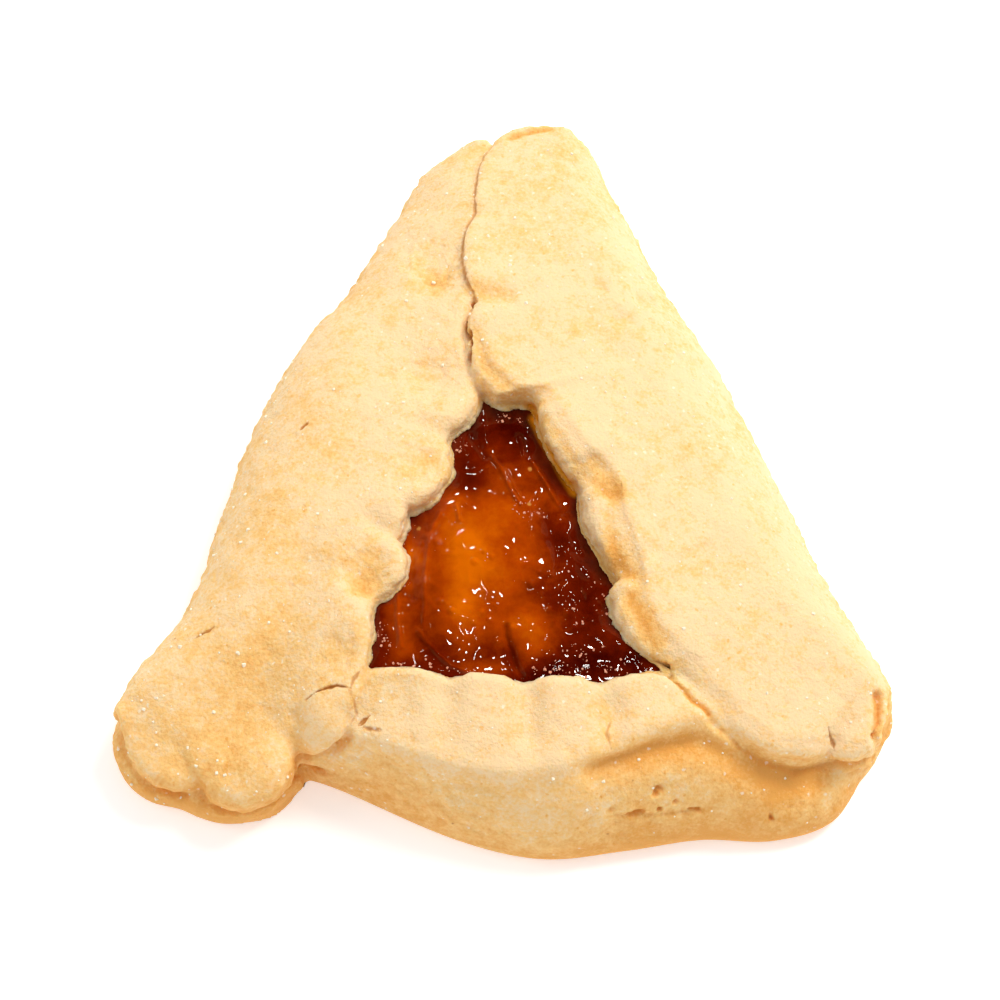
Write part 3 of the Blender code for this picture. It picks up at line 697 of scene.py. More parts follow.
@dataclass(frozen=True)
class ShortcrustFinish:
    """Baked shortcrust: matt, pale on top and golden where it is low, steep or cracked, with painted shade
    under rims and cut edges.
    """

    pale: Colour = (0.93, 0.67, 0.375)
    golden: Colour = (0.92, 0.56, 0.20)
    tanned: Colour = (0.82, 0.39, 0.085)
    deep: Colour = (0.52, 0.18, 0.02)
    speck: Colour = (0.50, 0.15, 0.03)
    sugar: Colour = (0.98, 0.93, 0.82)
    film: Colour = (0.80, 0.27, 0.01)
    roughness: float = 0.72

    def material(self) -> bpy.types.Material:
        """Builds the material, which reads from the mesh how brown the crust is, with its painted shade,
        and its cracks and film.
        """
        made = bpy.data.materials.new("shortcrust")
        tree = NodeTree(made)
        # How brown the crust is, with painted shade under rims and cut edges.
        browning_and_shade = tree.stored("browning_and_shade")
        film = tree.stored("film")
        crack = tree.stored("crack")
        broad = tree.swing(0.45, 5.0, 2.0)
        mottled = tree.swing(0.95, 1.3, 3.0, 0.6)
        sandy = tree.swing(0.9, 0.35, 2.0, 0.6)
        toasted = tree.math("MULTIPLY", tree.spots(1.0, 0.20, 0.22), 0.38)
        amount = tree.math("ADD", browning_and_shade, tree.math("ADD", broad, mottled))
        amount = tree.math("ADD", amount, tree.math("ADD", sandy, toasted))
        colour = tree.ramp(amount, ((0.0, self.pale), (0.36, self.golden), (0.8, self.tanned)))
        colour = tree.mix(crack, colour, self.deep)
        freckles = tree.math("MULTIPLY", tree.spots(2.4, 0.07, 0.13), 0.7)
        colour = tree.mix(freckles, colour, self.speck)
        crystals = tree.math("MULTIPLY", tree.spots(0.8, 0.24, 0.14), 0.5)
        colour = tree.mix(crystals, colour, self.sugar)
        colour = tree.mix(film, colour, self.film)
        fine = tree.add("ShaderNodeBump", {"Height": tree.noise(0.14, 1.0), "Strength": 0.5,
                                           "Distance": 0.00005})
        grain = tree.add("ShaderNodeBump", {"Height": tree.noise(0.34, 2.0, 0.6), "Strength": 0.9,
                                            "Distance": 0.00018, "Normal": fine.outputs["Normal"]})
        rough = tree.add("ShaderNodeMapRange", {"Value": film, "To Min": self.roughness, "To Max": 0.2})
        shader = tree.add("ShaderNodeBsdfPrincipled", {
            "Base Color": colour, "Roughness": rough.outputs["Result"], "Specular IOR Level": 0.3,
            "Subsurface Weight": 0.35, "Subsurface Radius": (1.0, 0.6, 0.35), "Subsurface Scale": 0.0015,
            "Normal": grain.outputs["Normal"]})
        tree.surface(shader)
        return made


@dataclass(frozen=True)
class JamFinish:
    """Apricot jam: wet and clear, amber where the fruit lies near the top and dark where it is deep, with
    painted light and painted shade from the mesh's glow.
    """

    shadow: Colour = (0.045, 0.0012, 0.0001)
    dark: Colour = (0.14, 0.008, 0.0002)
    amber: Colour = (0.38, 0.045, 0.0003)
    bright: Colour = (0.62, 0.118, 0.0004)
    seed: Colour = (0.50, 0.20, 0.04)
    clear: Colour = (1.0, 0.38, 0.008)

    def material(self) -> bpy.types.Material:
        """Builds the material, which reads from the mesh how bright the jam looks, painted light and shade
        included.
        """
        made = bpy.data.materials.new("apricot_jam")
        tree = NodeTree(made)
        glow = tree.stored("glow")
        cloud = tree.swing(0.55, 3.0, 3.0)
        veins = tree.swing(0.3, 0.9, 4.0, 0.7)
        amount = tree.math("ADD", glow, tree.math("ADD", cloud, veins))
        colour = tree.ramp(amount, ((0.0, self.shadow), (0.28, self.dark), (0.6, self.amber),
                                    (0.95, self.bright)))
        seeds = tree.stored("seed")
        colour = tree.mix(seeds, colour, self.seed)
        clear = tree.stored("clear")
        colour = tree.mix(clear, colour, self.clear)
        frost = tree.stored("frost")
        grains = tree.math("MULTIPLY", tree.noise(0.45, 2.0, 0.6), frost)
        pitted = tree.add("ShaderNodeBump", {"Height": grains, "Strength": 0.35, "Distance": 0.0001})
        ripple = tree.add("ShaderNodeBump", {"Height": tree.noise(1.3, 1.0), "Strength": 0.12,
                                             "Distance": 0.0002, "Normal": pitted.outputs["Normal"]})
        shader = tree.add("ShaderNodeBsdfPrincipled", {
            "Base Color": colour, "Roughness": 0.35, "Specular IOR Level": 0.0, "Coat Weight": 0.5,
            "Coat Roughness": 0.03, "Subsurface Weight": 0.2, "Subsurface Radius": (1.0, 0.2, 0.03),
            "Subsurface Scale": 0.0012, "Normal": ripple.outputs["Normal"]})
        tree.tree.links.new(ripple.outputs["Normal"], shader.inputs["Coat Normal"])
        tree.surface(shader)
        return made


@dataclass(frozen=True)
class SugarFinish:
    """White sugar: clear little crystals that look white on the dough."""

    white: Colour = (0.97, 0.88, 0.70)
    warm: Colour = (1.0, 0.88, 0.66)

    def material(self) -> bpy.types.Material:
        """Builds the material, with a slight difference from one crystal to the next."""
        made = bpy.data.materials.new("sugar")
        tree = NodeTree(made)
        colour = tree.mix(tree.noise(2.0), self.white, self.warm)
        tree.surface(tree.add("ShaderNodeBsdfPrincipled", {"Base Color": colour, "Roughness": 0.25}))
        return made


@dataclass(frozen=True)
class PaintedGlintFinish:
    """Pale specks on the jam that are painted glints, tinted by the jam."""

    # The painted glints' pale colour.
    pale: Colour = (0.95, 0.62, 0.48)
    tinted: Colour = (0.60, 0.10, 0.01)

    def material(self) -> bpy.types.Material:
        """Builds the material of the painted glints, paler on some specks than on others."""
        # The material of the painted glints.
        made = bpy.data.materials.new("crystal")
        tree = NodeTree(made)
        colour = tree.mix(tree.noise(1.5), self.pale, self.tinted)
        tree.surface(tree.add("ShaderNodeBsdfPrincipled", {"Base Color": colour, "Roughness": 0.2}))
        return made


@dataclass(frozen=True)
class FloorFinish:
    """A plain white board that glows a little, so that shadows stay pale."""

    white: Colour = (0.93, 0.93, 0.94)
    grey: Colour = (0.91, 0.91, 0.92)
    lit: float = 0.38

    def material(self) -> bpy.types.Material:
        """Builds the material, with a faint unevenness."""
        made = bpy.data.materials.new("white_board")
        tree = NodeTree(made)
        colour = tree.mix(tree.noise(40.0), self.white, self.grey)
        tree.surface(tree.add("ShaderNodeBsdfPrincipled", {"Base Color": colour, "Roughness": 0.9,
                                                           "Specular IOR Level": 0.1,
                                                           "Emission Color": (1, 1, 1, 1),
                                                           "Emission Strength": self.lit}))
        return made


@dataclass
class JamFilling:
    """The jam: a mound that shows in the opening and goes on a little under the flaps."""

    flaps: tuple[Flap, Flap, Flap] = (LEFT, RIGHT, FRONT)
    middle: Plan = (-0.5, -14.5)
    reach_under: float = 5.0
    crown: float = 12.9
    shore: float = 11.5
    edge: float = 7.4
    floor: float = 4.2
    front_bounds: tuple[int, int] = (1, 6)
    side_bounds: tuple[int, int] = (4, 11)
    round_off: float = 1.5
    inner_reach: float = 0.68
    falling: float = 1.5
    doming: float = 2.2
    around: int = 480
    rings: int = 150
    shows_above: float = 9.0
    shore_width: float = 2.0
    shore_relief: float = 0.35
    waves: tuple[tuple[float, float, int], ...] = ((0.14, 2.6, 1), (0.05, 1.2, 2))
    warp: float = 0.2
    warp_size: float = 2.0
    wrinkles: float = 0.05
    wrinkle_size: float = 1.7
    lump_foot: float = 1.6
    bead_foot: float = 1.5
    depths: float = 0.30
    glow_of_rise: float = 0.18
    # The share of its glow that the jam keeps at the rims: painted shade where the flaps overhang it.
    shaded: float = 0.6
    ridges: tuple[tuple[tuple[Plan, ...], float, float], ...] = (
        (((-1.0, -2.2), (-0.2, -3.9), (1.7, -7.7)), 0.18, 0.30),
        (((0.2, -3.9), (2.0, -7.3)), 0.16, 0.24),
        (((2.9, -2.8), (3.4, -3.8), (5.3, -7.3)), 0.24, 0.34),
        (((1.6, 0.2), (2.2, -2.1)), 0.18, 0.22),
        (((-6.0, -8.4), (-7.1, -11.6), (-7.4, -15.2), (-7.4, -20.7)), 0.30, 0.30),
        (((-9.9, -16.8), (-9.9, -18.8), (-9.5, -22.3)), 0.28, 0.34),
        (((-8.0, -20.8), (-6.4, -22.6), (-4.8, -24.1), (-3.0, -24.8)), 0.22, 0.36),
        (((-4.6, -7.6), (-4.2, -9.2)), 0.26, 0.34),
        (((0.2, -20.4), (0.6, -22.0), (1.8, -25.2)), 0.30, -0.50),
        (((-8.9, -8.8), (-8.8, -13.0), (-8.6, -17.0)), 0.6, -0.35),
        (((-3.6, 3.0), (-3.0, 0.0), (-1.6, -2.2)), 0.5, -0.3),
        (((3.8, -8.2), (5.2, -12.6), (5.0, -18.0), (3.4, -22.4)), 0.7, -0.28),
        (((6.6, -13.0), (7.4, -17.0), (6.4, -20.6)), 0.4, 0.16),
    )
    lumps: tuple[tuple[Plan, float, float], ...] = (
        ((-2.4, -13.4), 4.8, 0.9), ((-4.0, -19.8), 2.4, 0.35), ((2.4, -20.8), 2.8, 0.6),
        ((2.2, -9.4), 2.6, 0.35), ((6.0, -16.0), 2.4, 0.3), ((8.6, -21.6), 2.2, 0.25),
    )
    # Paths, each with a width and a strength, that lighten the jam, and darken it where the strength is
    # below 0: partly the fruit's own colour, partly painted light, as along the right rim in the flap's
    # shadow, and painted shade near the top and right rims.
    lights: tuple[tuple[tuple[Plan, ...], float, float], ...] = (
        (((-4.5, -7.4), (-4.0, -11.0), (-3.4, -15.0), (-4.0, -18.0)), 1.5, 0.34),
        (((-2.2, -12.0), (-2.0, -15.0)), 5.2, 0.30),
        (((-4.3, -19.6), (-3.4, -21.0)), 1.6, 0.20),
        (((2.4, -20.2), (3.2, -22.0)), 2.0, 0.30),
        (((0.4, -5.6), (1.2, -8.0)), 3.0, 0.12),
        (((-9.4, -9.8), (-8.6, -13.0)), 0.9, 0.26), (((-9.8, -18.0), (-9.2, -22.4)), 1.2, 0.20),
        (((7.4, -11.6), (8.2, -20.0)), 2.6, -0.16),
        (((-2.6, 2.4), (2.2, 2.0)), 2.4, -0.20),
        (((2.0, -24.6), (12.0, -24.0)), 2.0, -0.26),
        (((6.4, -1.6), (8.6, -6.6), (9.4, -12.0)), 1.4, 0.46),
        (((-8.9, -12.0), (-8.9, -16.0)), 0.9, 0.25),
        (((-3.9, -7.9), (-3.9, -9.2)), 1.2, -0.16), (((-3.8, -2.0), (-3.4, -4.6)), 1.4, -0.22),
        (((0.4, 1.4), (1.6, -0.6)), 1.6, -0.14),
        (((-3.2, -24.4), (1.2, -24.5)), 1.0, 0.24),
    )
    frosted: tuple[tuple[tuple[Plan, ...], float], ...] = (
        (((-0.6, 2.0), (1.6, 1.8)), 0.5), (((-4.4, 0.3), (-3.8, -1.1)), 0.6),
        (((7.4, -20.2), (13.4, -24.2)), 1.0), (((2.0, -24.2), (10.0, -24.2)), 0.5),
        (((-11.6, -20.0), (-11.0, -23.4)), 0.7), (((-10.0, -23.9), (-3.0, -24.7)), 0.6),
        (((1.5, -6.9), (4.0, -8.9)), 0.9), (((8.0, -14.0), (10.0, -20.0)), 0.8),
    )
    droplets: tuple[Plan, ...] = (
        (-1.8, -13.0), (-1.1, -13.5), (-2.7, -14.1), (3.4, -14.8), (4.5, -15.0), (2.6, -16.1), (3.6, -17.1),
        (-7.8, -11.5), (-6.4, -11.5), (-7.3, -10.7), (-6.0, -17.8), (-4.9, -18.9), (-2.0, -19.0),
        (-1.3, -19.6), (-2.8, -20.0), (4.4, -18.6), (6.0, -19.0), (0.8, -20.5), (6.7, -20.4),
        (-0.5, -21.8), (7.6, -12.2), (6.5, -22.3),
    )
    seeds: tuple[Plan, ...] = ((2.5, -7.6), (2.6, -3.6), (-8.1, -9.8))
    seed_radius: float = 0.25
    seed_edge: float = 0.1
    clear_edge: tuple[Plan, ...] = ((3.2, 2.2), (4.2, -0.2), (5.3, -2.2), (6.2, -4.2), (7.0, -5.6))
    clear_width: float = 1.0
    droplet_size: float = 0.36
    droplet_height: float = 0.22
    seed: int = 11

    def beads(self) -> Iterable[tuple[Plan, float, float]]:
        """Yields the plan point, radius and height of each droplet on the jam."""
        draw = np.random.default_rng(self.seed)
        for spot in self.droplets:
            grown = draw.uniform(0.7, 1.2)
            yield spot, self.droplet_size * grown, self.droplet_height * grown

    def opening(self) -> Array:
        """Returns the plan outline of the opening, along the rims of the three flaps."""
        left, right, front = self.flaps
        path = [station.rim for station in front.stations[slice(*self.front_bounds)]]
        for flap in (right, left):
            path += [station.rim for station in flap.stations[slice(*self.side_bounds)]][::-1]
        return evenly(spline(path, 400), self.around + 1)[:-1]

    def steps(self) -> list[tuple[float, float, float, float]]:
        """Lists the rings from the underside up to the crown.

        Returns:
            For each ring, the share of the way to the opening's edge, the distance past that edge,
            the height and how far up its surface faces.
        """
        made = [(share, 0.0, self.floor, -1.0) for share in (0.3, 0.6, 0.85)]
        half, mid = (self.edge - self.floor) / 2, (self.edge + self.floor) / 2
        for turn in np.linspace(-math.pi / 2, math.pi / 2, 10):
            past = self.reach_under - self.round_off * (1 - math.cos(turn))
            made.append((1.0, past, mid + half * math.sin(turn), math.sin(turn)))
        for share in np.linspace(self.inner_reach, 0.0, 14):
            height = self.shore + (self.edge - self.shore) * share**self.falling
            made.append((1.0, self.reach_under * share, height, 1.0))
        for share in np.linspace(1.0, 0.02, self.rings)[1:]:
            height = self.crown + (self.shore - self.crown) * share**self.doming
            made.append((share, 0.0, height, 1.0))
        return made

    def solid(self, name: str, grown: float) -> bpy.types.Object:
        """Builds the jam's plain form.

        Args:
            name: The object's name.
            grown: How much to add all round, in millimetres, for a cutter.

        Returns:
            The closed object.
        """
        around = self.opening()
        way = around - np.array(self.middle)
        rings = []
        for share, past, height, up in self.steps():
            reach = np.linalg.norm(way, axis=1)[:, None]
            plan = np.array(self.middle) + way / reach * (reach * share + past)
            if share == 1.0:
                plan = self.widened(plan, grown)
            rings.append(np.column_stack([plan, np.full(len(plan), height + up * grown)]))
        return rings_object(name, rings)

    @staticmethod
    def widened(ring: Array, distance: float) -> Array:
        """Returns a closed plan outline moved outwards, square to itself."""
        way = np.roll(ring, -1, axis=0) - np.roll(ring, 1, axis=0)
        side = np.column_stack([way[:, 1], -way[:, 0]])
        side /= np.maximum(np.linalg.norm(side, axis=1)[:, None], 1e-9)
        return ring + side * np.sign(np.sum(side * (ring - ring.mean(axis=0)))) * distance

    def relief(self, places: Array, shown: Array) -> Array:
        """Works out the folds and lumps of the jam's top.

        Args:
            places: The jam's vertices in millimetres.
            shown: How far each is in the open, from 0 to 1.

        Returns:
            The rise of each vertex in millimetres.
        """
        rise = np.zeros(len(places))
        for height, size, seed in self.waves:
            rise += height * wander(places, size, seed)
        shift = [wander(places, self.warp_size, seed) for seed in (6, 7)]
        warped = places + self.warp * np.column_stack([*shift, np.zeros(len(places))])
        rise += self.wrinkles * (1 - np.abs(wander(warped, self.wrinkle_size, 8)) * 4).clip(-0.5, 1)
        for path, width, height in self.ridges:
            apart = distance_to(np.array(path), warped)
            rise += height * np.exp(-((apart / width) ** 2))
        for centre, radius, height in self.lumps:
            apart = distance_to(np.array([centre]), places)
            rise += height * (1 - ease(apart / radius / self.lump_foot))
        for centre, radius, height in self.beads():
            apart = np.linalg.norm(places[:, :2] - centre, axis=1)
            rise += height * (1 - ease(apart / radius / self.bead_foot))
        return rise * shown

    def glow(self, places: Array, rise: Array, shown: Array) -> Array:
        """Works out how bright the jam looks, with painted light and painted shade.

        Args:
            places: The jam's vertices in millimetres.
            rise: The relief at each vertex.
            shown: How far each is in the open, from 0 to 1.

        Returns:
            0 where the jam is deep and dark, as in the painted shade near the rims, and 1 where the fruit
            lies near the top and where light is painted.
        """
        glow = self.depths + self.glow_of_rise * rise
        # Painted light and painted shade along the listed paths, with some of the fruit's own colour.
        for path, width, strength in self.lights:
            apart = distance_to(np.array(path), places)
            glow += strength * np.exp(-((apart / width) ** 2))
        # Painted shade: darker towards the rims, where the flaps overhang the jam.
        return glow * (self.shaded + (1 - self.shaded) * shown)

    def frost(self, places: Array) -> Array:
        """Returns how rough the jam's skin is at each place, from 0 to 1."""
        felt = np.zeros(len(places))
        for path, width in self.frosted:
            felt = np.maximum(felt, np.exp(-((distance_to(np.array(path), places) / width) ** 2)))
        return felt

    def clear_film(self, places: Array) -> Array:
        """Returns how thin and clear the jam is along the right rim, from 0 to 1, for each place."""
        apart = distance_to(np.array(self.clear_edge), places)
        return (1 - ease(apart / self.clear_width)) * (places[:, 2] > self.shows_above)

    def seed_spots(self, places: Array) -> Array:
        """Returns 1 on the pale seeds of the fruit and 0 elsewhere, for each place."""
        apart = np.min([np.linalg.norm(places[:, :2] - seed, axis=1) for seed in self.seeds], axis=0)
        return ease((self.seed_radius - apart) / self.seed_edge) * (places[:, 2] > self.shows_above)

    def build(self) -> bpy.types.Object:
        """Builds the jam with its folds, dresses it and returns it."""
        target = self.solid("apricot_jam", 0.0)
        places = places_of(target)
        inside = distance_to(np.vstack([self.opening(), self.opening()[:1]]), places)
        way = self.opening() - np.array(self.middle)
        angle = np.arctan2(places[:, 1] - self.middle[1], places[:, 0] - self.middle[0])
        edge_angle = np.arctan2(way[:, 1], way[:, 0])
        order = np.argsort(edge_angle)
        edge = np.interp(angle, edge_angle[order], np.linalg.norm(way, axis=1)[order], period=2 * math.pi)
        within = np.linalg.norm(places[:, :2] - np.array(self.middle), axis=1) < edge
        on_top = places[:, 2] > self.shows_above
        shown = ease(np.where(within, inside, 0) / self.shore_width) * on_top
        rise = self.relief(places, np.maximum(shown, self.shore_relief * within * on_top))
        places[:, 2] += rise
        set_places(target, places)
        set_attribute(target, "glow", self.glow(places, rise, shown))
        set_attribute(target, "frost", self.frost(places))
        set_attribute(target, "seed", self.seed_spots(places))
        set_attribute(target, "clear", self.clear_film(places))
        target.data.materials.append(JamFinish().material())
        target.data.shade_smooth()
        return target


@dataclass(frozen=True)
class Baking:
    """How brown each part of the crust is: mostly baked colour, and painted shade on the front wall below
    the right flap's lip and in the marks under rims and cut edges.
    """

    everywhere: float = 0.03
    low: float = 0.28
    steep: float = 0.18
    front: float = 0.24
    left: float = 0.13
    top: float = 0.08
    corner: float = 0.08
    # Painted shade on the front wall below the right flap's lip.
    painted_shade_below_lip: float = 0.30
    under: float = 0.25
    patches: float = 0.12
    marked: float = 0.6


@dataclass
class Dough:
    """The folded round of shortcrust, as one closed skin."""

    jam: JamFilling
    baking: Baking = Baking()
    flaps: tuple[Flap, Flap, Flap] = (LEFT, RIGHT, FRONT)
    voxel: float = 0.29
    narrow: float = 0.6
    softening: int = 1
    gap: float = 0.12
    flattened: float = 0.3
    front_inset: float = 1.0
    side_inset: float = 2.2
    corner_to_middle: float = 0.45
    round_edge: float = 1.2
    corner_edge: float = 1.4
    refined_margin: float = 0.4
    refined_above: float = 2.0
    cuts: int = 2
    film_width: float = 0.9
    film_top: float = 13.2
    film_fade: float = 0.8
    bottom: float = BOTTOM
    along: int = 300
    across: int = 72
    corners: dict[str, tuple[tuple[Plan, ...], float]] = field(default_factory=lambda: {
        "front_right": (((34.9, -31.0), (36.2, -29.0), (37.4, -26.0), (36.6, -23.6)), 7.2),
        "back": (((9.4, 35.8), (7.2, 38.3), (4.4, 38.5), (0.6, 37.8), (-3.4, 37.5), (-5.4, 36.2)), 6.8),
        "front_left": (((-37.0, -25.6), (-37.6, -28.4), (-36.3, -31.6), (-34.0, -33.6), (-31.0, -34.4),
                        (-29.0, -35.3), (-26.4, -35.9), (-22.4, -35.2), (-20.4, -33.2),
                        (-19.2, -31.4)), 4.4),
    })
    film_edge: tuple[Plan, ...] = ((2.6, 3.6), (3.8, 1.4), (4.4, -1.0), (5.6, -3.8), (6.8, -5.6))

    def plate(self, name: str, outline: Array, top: float, round_off: float) -> bpy.types.Object:
        """Builds a flat slab with a rounded edge.

        Args:
            name: The object's name.
            outline: The closed plan outline, in millimetres.
            top: The slab's height.
            round_off: How far its edge is rounded in.

        Returns:
            The closed object.
        """
        middle = outline.mean(axis=0)
        reach = np.linalg.norm(outline - middle, axis=1)[:, None]
        rings = []
        for turn in np.linspace(-math.pi / 2, math.pi / 2, 9):
            plan = middle + (outline - middle) * (1 - round_off * (1 - math.cos(turn)) / reach)
            rings.append(np.column_stack([plan, np.full(len(plan), top / 2 * (1 + math.sin(turn)))]))
        return rings_object(name, rings)

    @staticmethod
    def inset(points: Sequence[Plan], distance: float) -> Array:
        """Returns an open run of outline points moved in towards the biscuit."""
        points = np.asarray(points, float)
        way = np.gradient(points, axis=0)
        side = np.column_stack([-way[:, 1], way[:, 0]])
        return points + side / np.linalg.norm(side, axis=1)[:, None] * distance

    def bottom_parts(self) -> list[bpy.types.Object]:
        """Builds the round under the jam and the thicker dough of its three corners."""
        left, right, front = ([s.fold for s in flap.stations][1:-1] for flap in self.flaps)
        path = [*self.inset(front, self.front_inset), *self.corners["front_right"][0],
                *self.inset(right[::-1], self.side_inset), *self.corners["back"][0],
                *self.inset(left[::-1], self.side_inset), *self.corners["front_left"][0]]
        outline = evenly(spline(path + path[:1], 600), 301)[:-1]
        made = [self.plate("bottom_round", outline, self.bottom, self.round_edge)]
        for key, (rim, top) in self.corners.items():
            inner = (np.array(rim[0]) + np.array(rim[-1])) * self.corner_to_middle
            loop = [*rim, tuple(inner)]
            edge = evenly(spline(loop + loop[:1], 240), 91)[:-1]
            made.append(self.plate(key, edge, top, self.corner_edge))
        return made

    def fuse(self, target: bpy.types.Object) -> None:
        """Fuses overlapping closed shapes into one skin, and softens the steps of its grid."""
        remesh = target.modifiers.new("Fuse", "REMESH")
        remesh.mode = "VOXEL"
        remesh.voxel_size = self.voxel * MM
        apply_modifiers(target)
        self.keep_largest(target)
        smooth = target.modifiers.new("Soften", "SMOOTH")
        smooth.factor = 0.5
        smooth.iterations = self.softening
        apply_modifiers(target)

    @staticmethod
    def keep_largest(target: bpy.types.Object) -> None:
        """Drops every loose shell of an object but the one with the most vertices."""
        count = len(target.data.vertices)
        edges = np.empty(len(target.data.edges) * 2, int)
        target.data.edges.foreach_get("vertices", edges)
        edges = edges.reshape(-1, 2)
        label = np.arange(count)
        while True:
            low = np.minimum(label[edges[:, 0]], label[edges[:, 1]])
            before = label.copy()
            np.minimum.at(label, edges[:, 0], low)
            np.minimum.at(label, edges[:, 1], low)
            label = label[label]
            if (label == before).all():
                break
        largest = np.bincount(label).argmax()
        mesh = bmesh.new()
        mesh.from_mesh(target.data)
        mesh.verts.ensure_lookup_table()
        loose = [mesh.verts[i] for i in np.flatnonzero(label != largest)]
        bmesh.ops.delete(mesh, geom=loose, context="VERTS")
        mesh.to_mesh(target.data)
        mesh.free()

    def cut_pocket(self, target: bpy.types.Object) -> None:
        """Takes the jam's form, with a little clearance, out of the dough."""
        cutter = self.jam.solid("pocket", self.gap)
        boolean = target.modifiers.new("Pocket", "BOOLEAN")
        boolean.operation = "DIFFERENCE"
        boolean.solver = "MANIFOLD"
        boolean.object = cutter
        apply_modifiers(target)
        bpy.data.objects.remove(cutter)
        self.keep_largest(target)

    def refine(self, target: bpy.types.Object) -> None:
        """Splits the faces round cracks and pores, so that narrow marks have points to bend."""
        places = places_of(target)
        near = np.zeros(len(places), bool)
        for mark in MARKS:
            sharp = mark.kind is not MarkKind.SWELL and mark.width < self.narrow
            if mark.kind is MarkKind.CRACK or sharp:
                reach = mark.width + self.refined_margin
                near |= distance_to(np.array(mark.path, float), places) < reach
        near &= places[:, 2] > self.refined_above
        mesh = bmesh.new()
        mesh.from_mesh(target.data)
        mesh.verts.ensure_lookup_table()
        edges = [edge for edge in mesh.edges if near[edge.verts[0].index] and near[edge.verts[1].index]]
        bmesh.ops.subdivide_edges(mesh, edges=edges, cuts=self.cuts, use_grid_fill=True)
        mesh.to_mesh(target.data)
        mesh.free()

    def shape_skin(self, target: bpy.types.Object) -> None:
        """Moves the skin for its marks, its unevenness and its grain, and stores its colours."""
        places, normals = places_of(target), normals_of(target)
        upward = ease((normals[:, 2] + 0.3) / 0.5)
        lift = 0.35 * wander(places, 10.0, 1) + 0.16 * wander(places, 4.0, 2)
        lift += 0.06 * wander(places, 2.0, 3) - 0.09 * ease((wander(places, 1.2, 12) - 0.3) / 0.3)
        browned_and_shaded, scorched = np.zeros(len(places)), np.zeros(len(places))
        # Each mark's brown goes into the crust's colour; under rims, cut edges and crests it is painted
        # shade.
        for mark in MARKS:
            felt = mark.shape(places) * (upward if len(mark.path[0]) == 2 else 1.0)
            lift += (1 if mark.kind is MarkKind.SWELL else -1) * mark.depth * felt
            if mark.kind is MarkKind.CRACK:
                scorched = np.maximum(scorched, mark.browns_and_shades * ease(felt * 1.6))
            else:
                browned_and_shaded += mark.browns_and_shades * felt
        flank = ease((0.75 - normals[:, 2]) / 0.5)
        side = flank * np.abs(normals[:, 0])
        lift += (0.05 + 0.08 * flank + 0.16 * side) * wander(places, 1.1, 4)
        lift += (0.03 + 0.03 * flank + 0.10 * side) * wander(places, 0.6, 5)
        lift *= ease((places[:, 2] - 0.8) / 3)
        moved = places + normals * lift[:, None]
        moved[moved[:, 2] < self.flattened, 2] = 0
        set_places(target, moved)
        # How brown each vertex is, painted shade included.
        set_attribute(target, "browning_and_shade", self.browning_and_shade(moved, normals, browned_and_shaded))
        set_attribute(target, "crack", np.clip(scorched, 0, 1))
        set_attribute(target, "film", self.film(moved))

    def browning_and_shade(self, places: Array, normals: Array, marked: Array) -> Array:
        """Works out how brown the crust is, with painted shade below the right flap's lip and under rims
        and cut edges.

        Args:
            places: The skin's vertices in millimetres.
            normals: Their normals.
            marked: How much browner the marks make the crust, partly painted shade.

        Returns:
            0 for pale dough, 0.36 for golden and 0.8 for tanned.
        """
        bake = self.baking
        low = ease((9.0 - places[:, 2]) / 8)
        steep = ease((0.85 - normals[:, 2]) / 0.9)
        front = ease((-30.0 - places[:, 1]) / 3) * steep
        left = ease((-8.0 - places[:, 0]) / 16)
        top = ease((places[:, 1] - 12) / 16)
        corner = bake.corner * ease((-18.0 - places[:, 0]) / 8) * ease((-20.0 - places[:, 1]) / 8)
        under = (normals[:, 2] < -0.5) * bake.under
        patch = bake.patches * wander(places, 7.0, 11)
        # Painted shade on the front wall below the right flap's lip.
        painted_shade_below_lip = ease((places[:, 0] - 2) / 14) * front * ease((9.5 - places[:, 2]) / 3)
        broad = (bake.low * low + bake.steep * steep + bake.front * front + bake.left * left
                 + bake.top * top * (1 + 5 * left))
        painted_lip_shade = bake.painted_shade_below_lip * painted_shade_below_lip
        return bake.everywhere + broad + corner + painted_lip_shade + under + patch + bake.marked * marked

    def film(self, places: Array) -> Array:
        """Returns how much jam clings to the lower edge of the right rim, from 0 to 1."""
        apart = distance_to(np.array(self.film_edge), places)
        low_enough = ease((self.film_top - places[:, 2]) / self.film_fade)
        return (1 - ease(apart / self.film_width)) * low_enough * (places[:, 2] > self.jam.shows_above)

    def build(self) -> bpy.types.Object:
        """Builds the dough, dresses it and returns it."""
        parts = [rings_object(flap.name, flap.rings(self.along, self.across)) for flap in self.flaps]
        target = joined("shortcrust", [*parts, *self.bottom_parts(), self.jam.solid("plug", 0.0)])
        self.fuse(target)
        self.cut_pocket(target)
        self.refine(target)
        self.shape_skin(target)
        target.data.materials.clear()
        target.data.materials.append(ShortcrustFinish().material())
        target.data.shade_smooth()
        return target


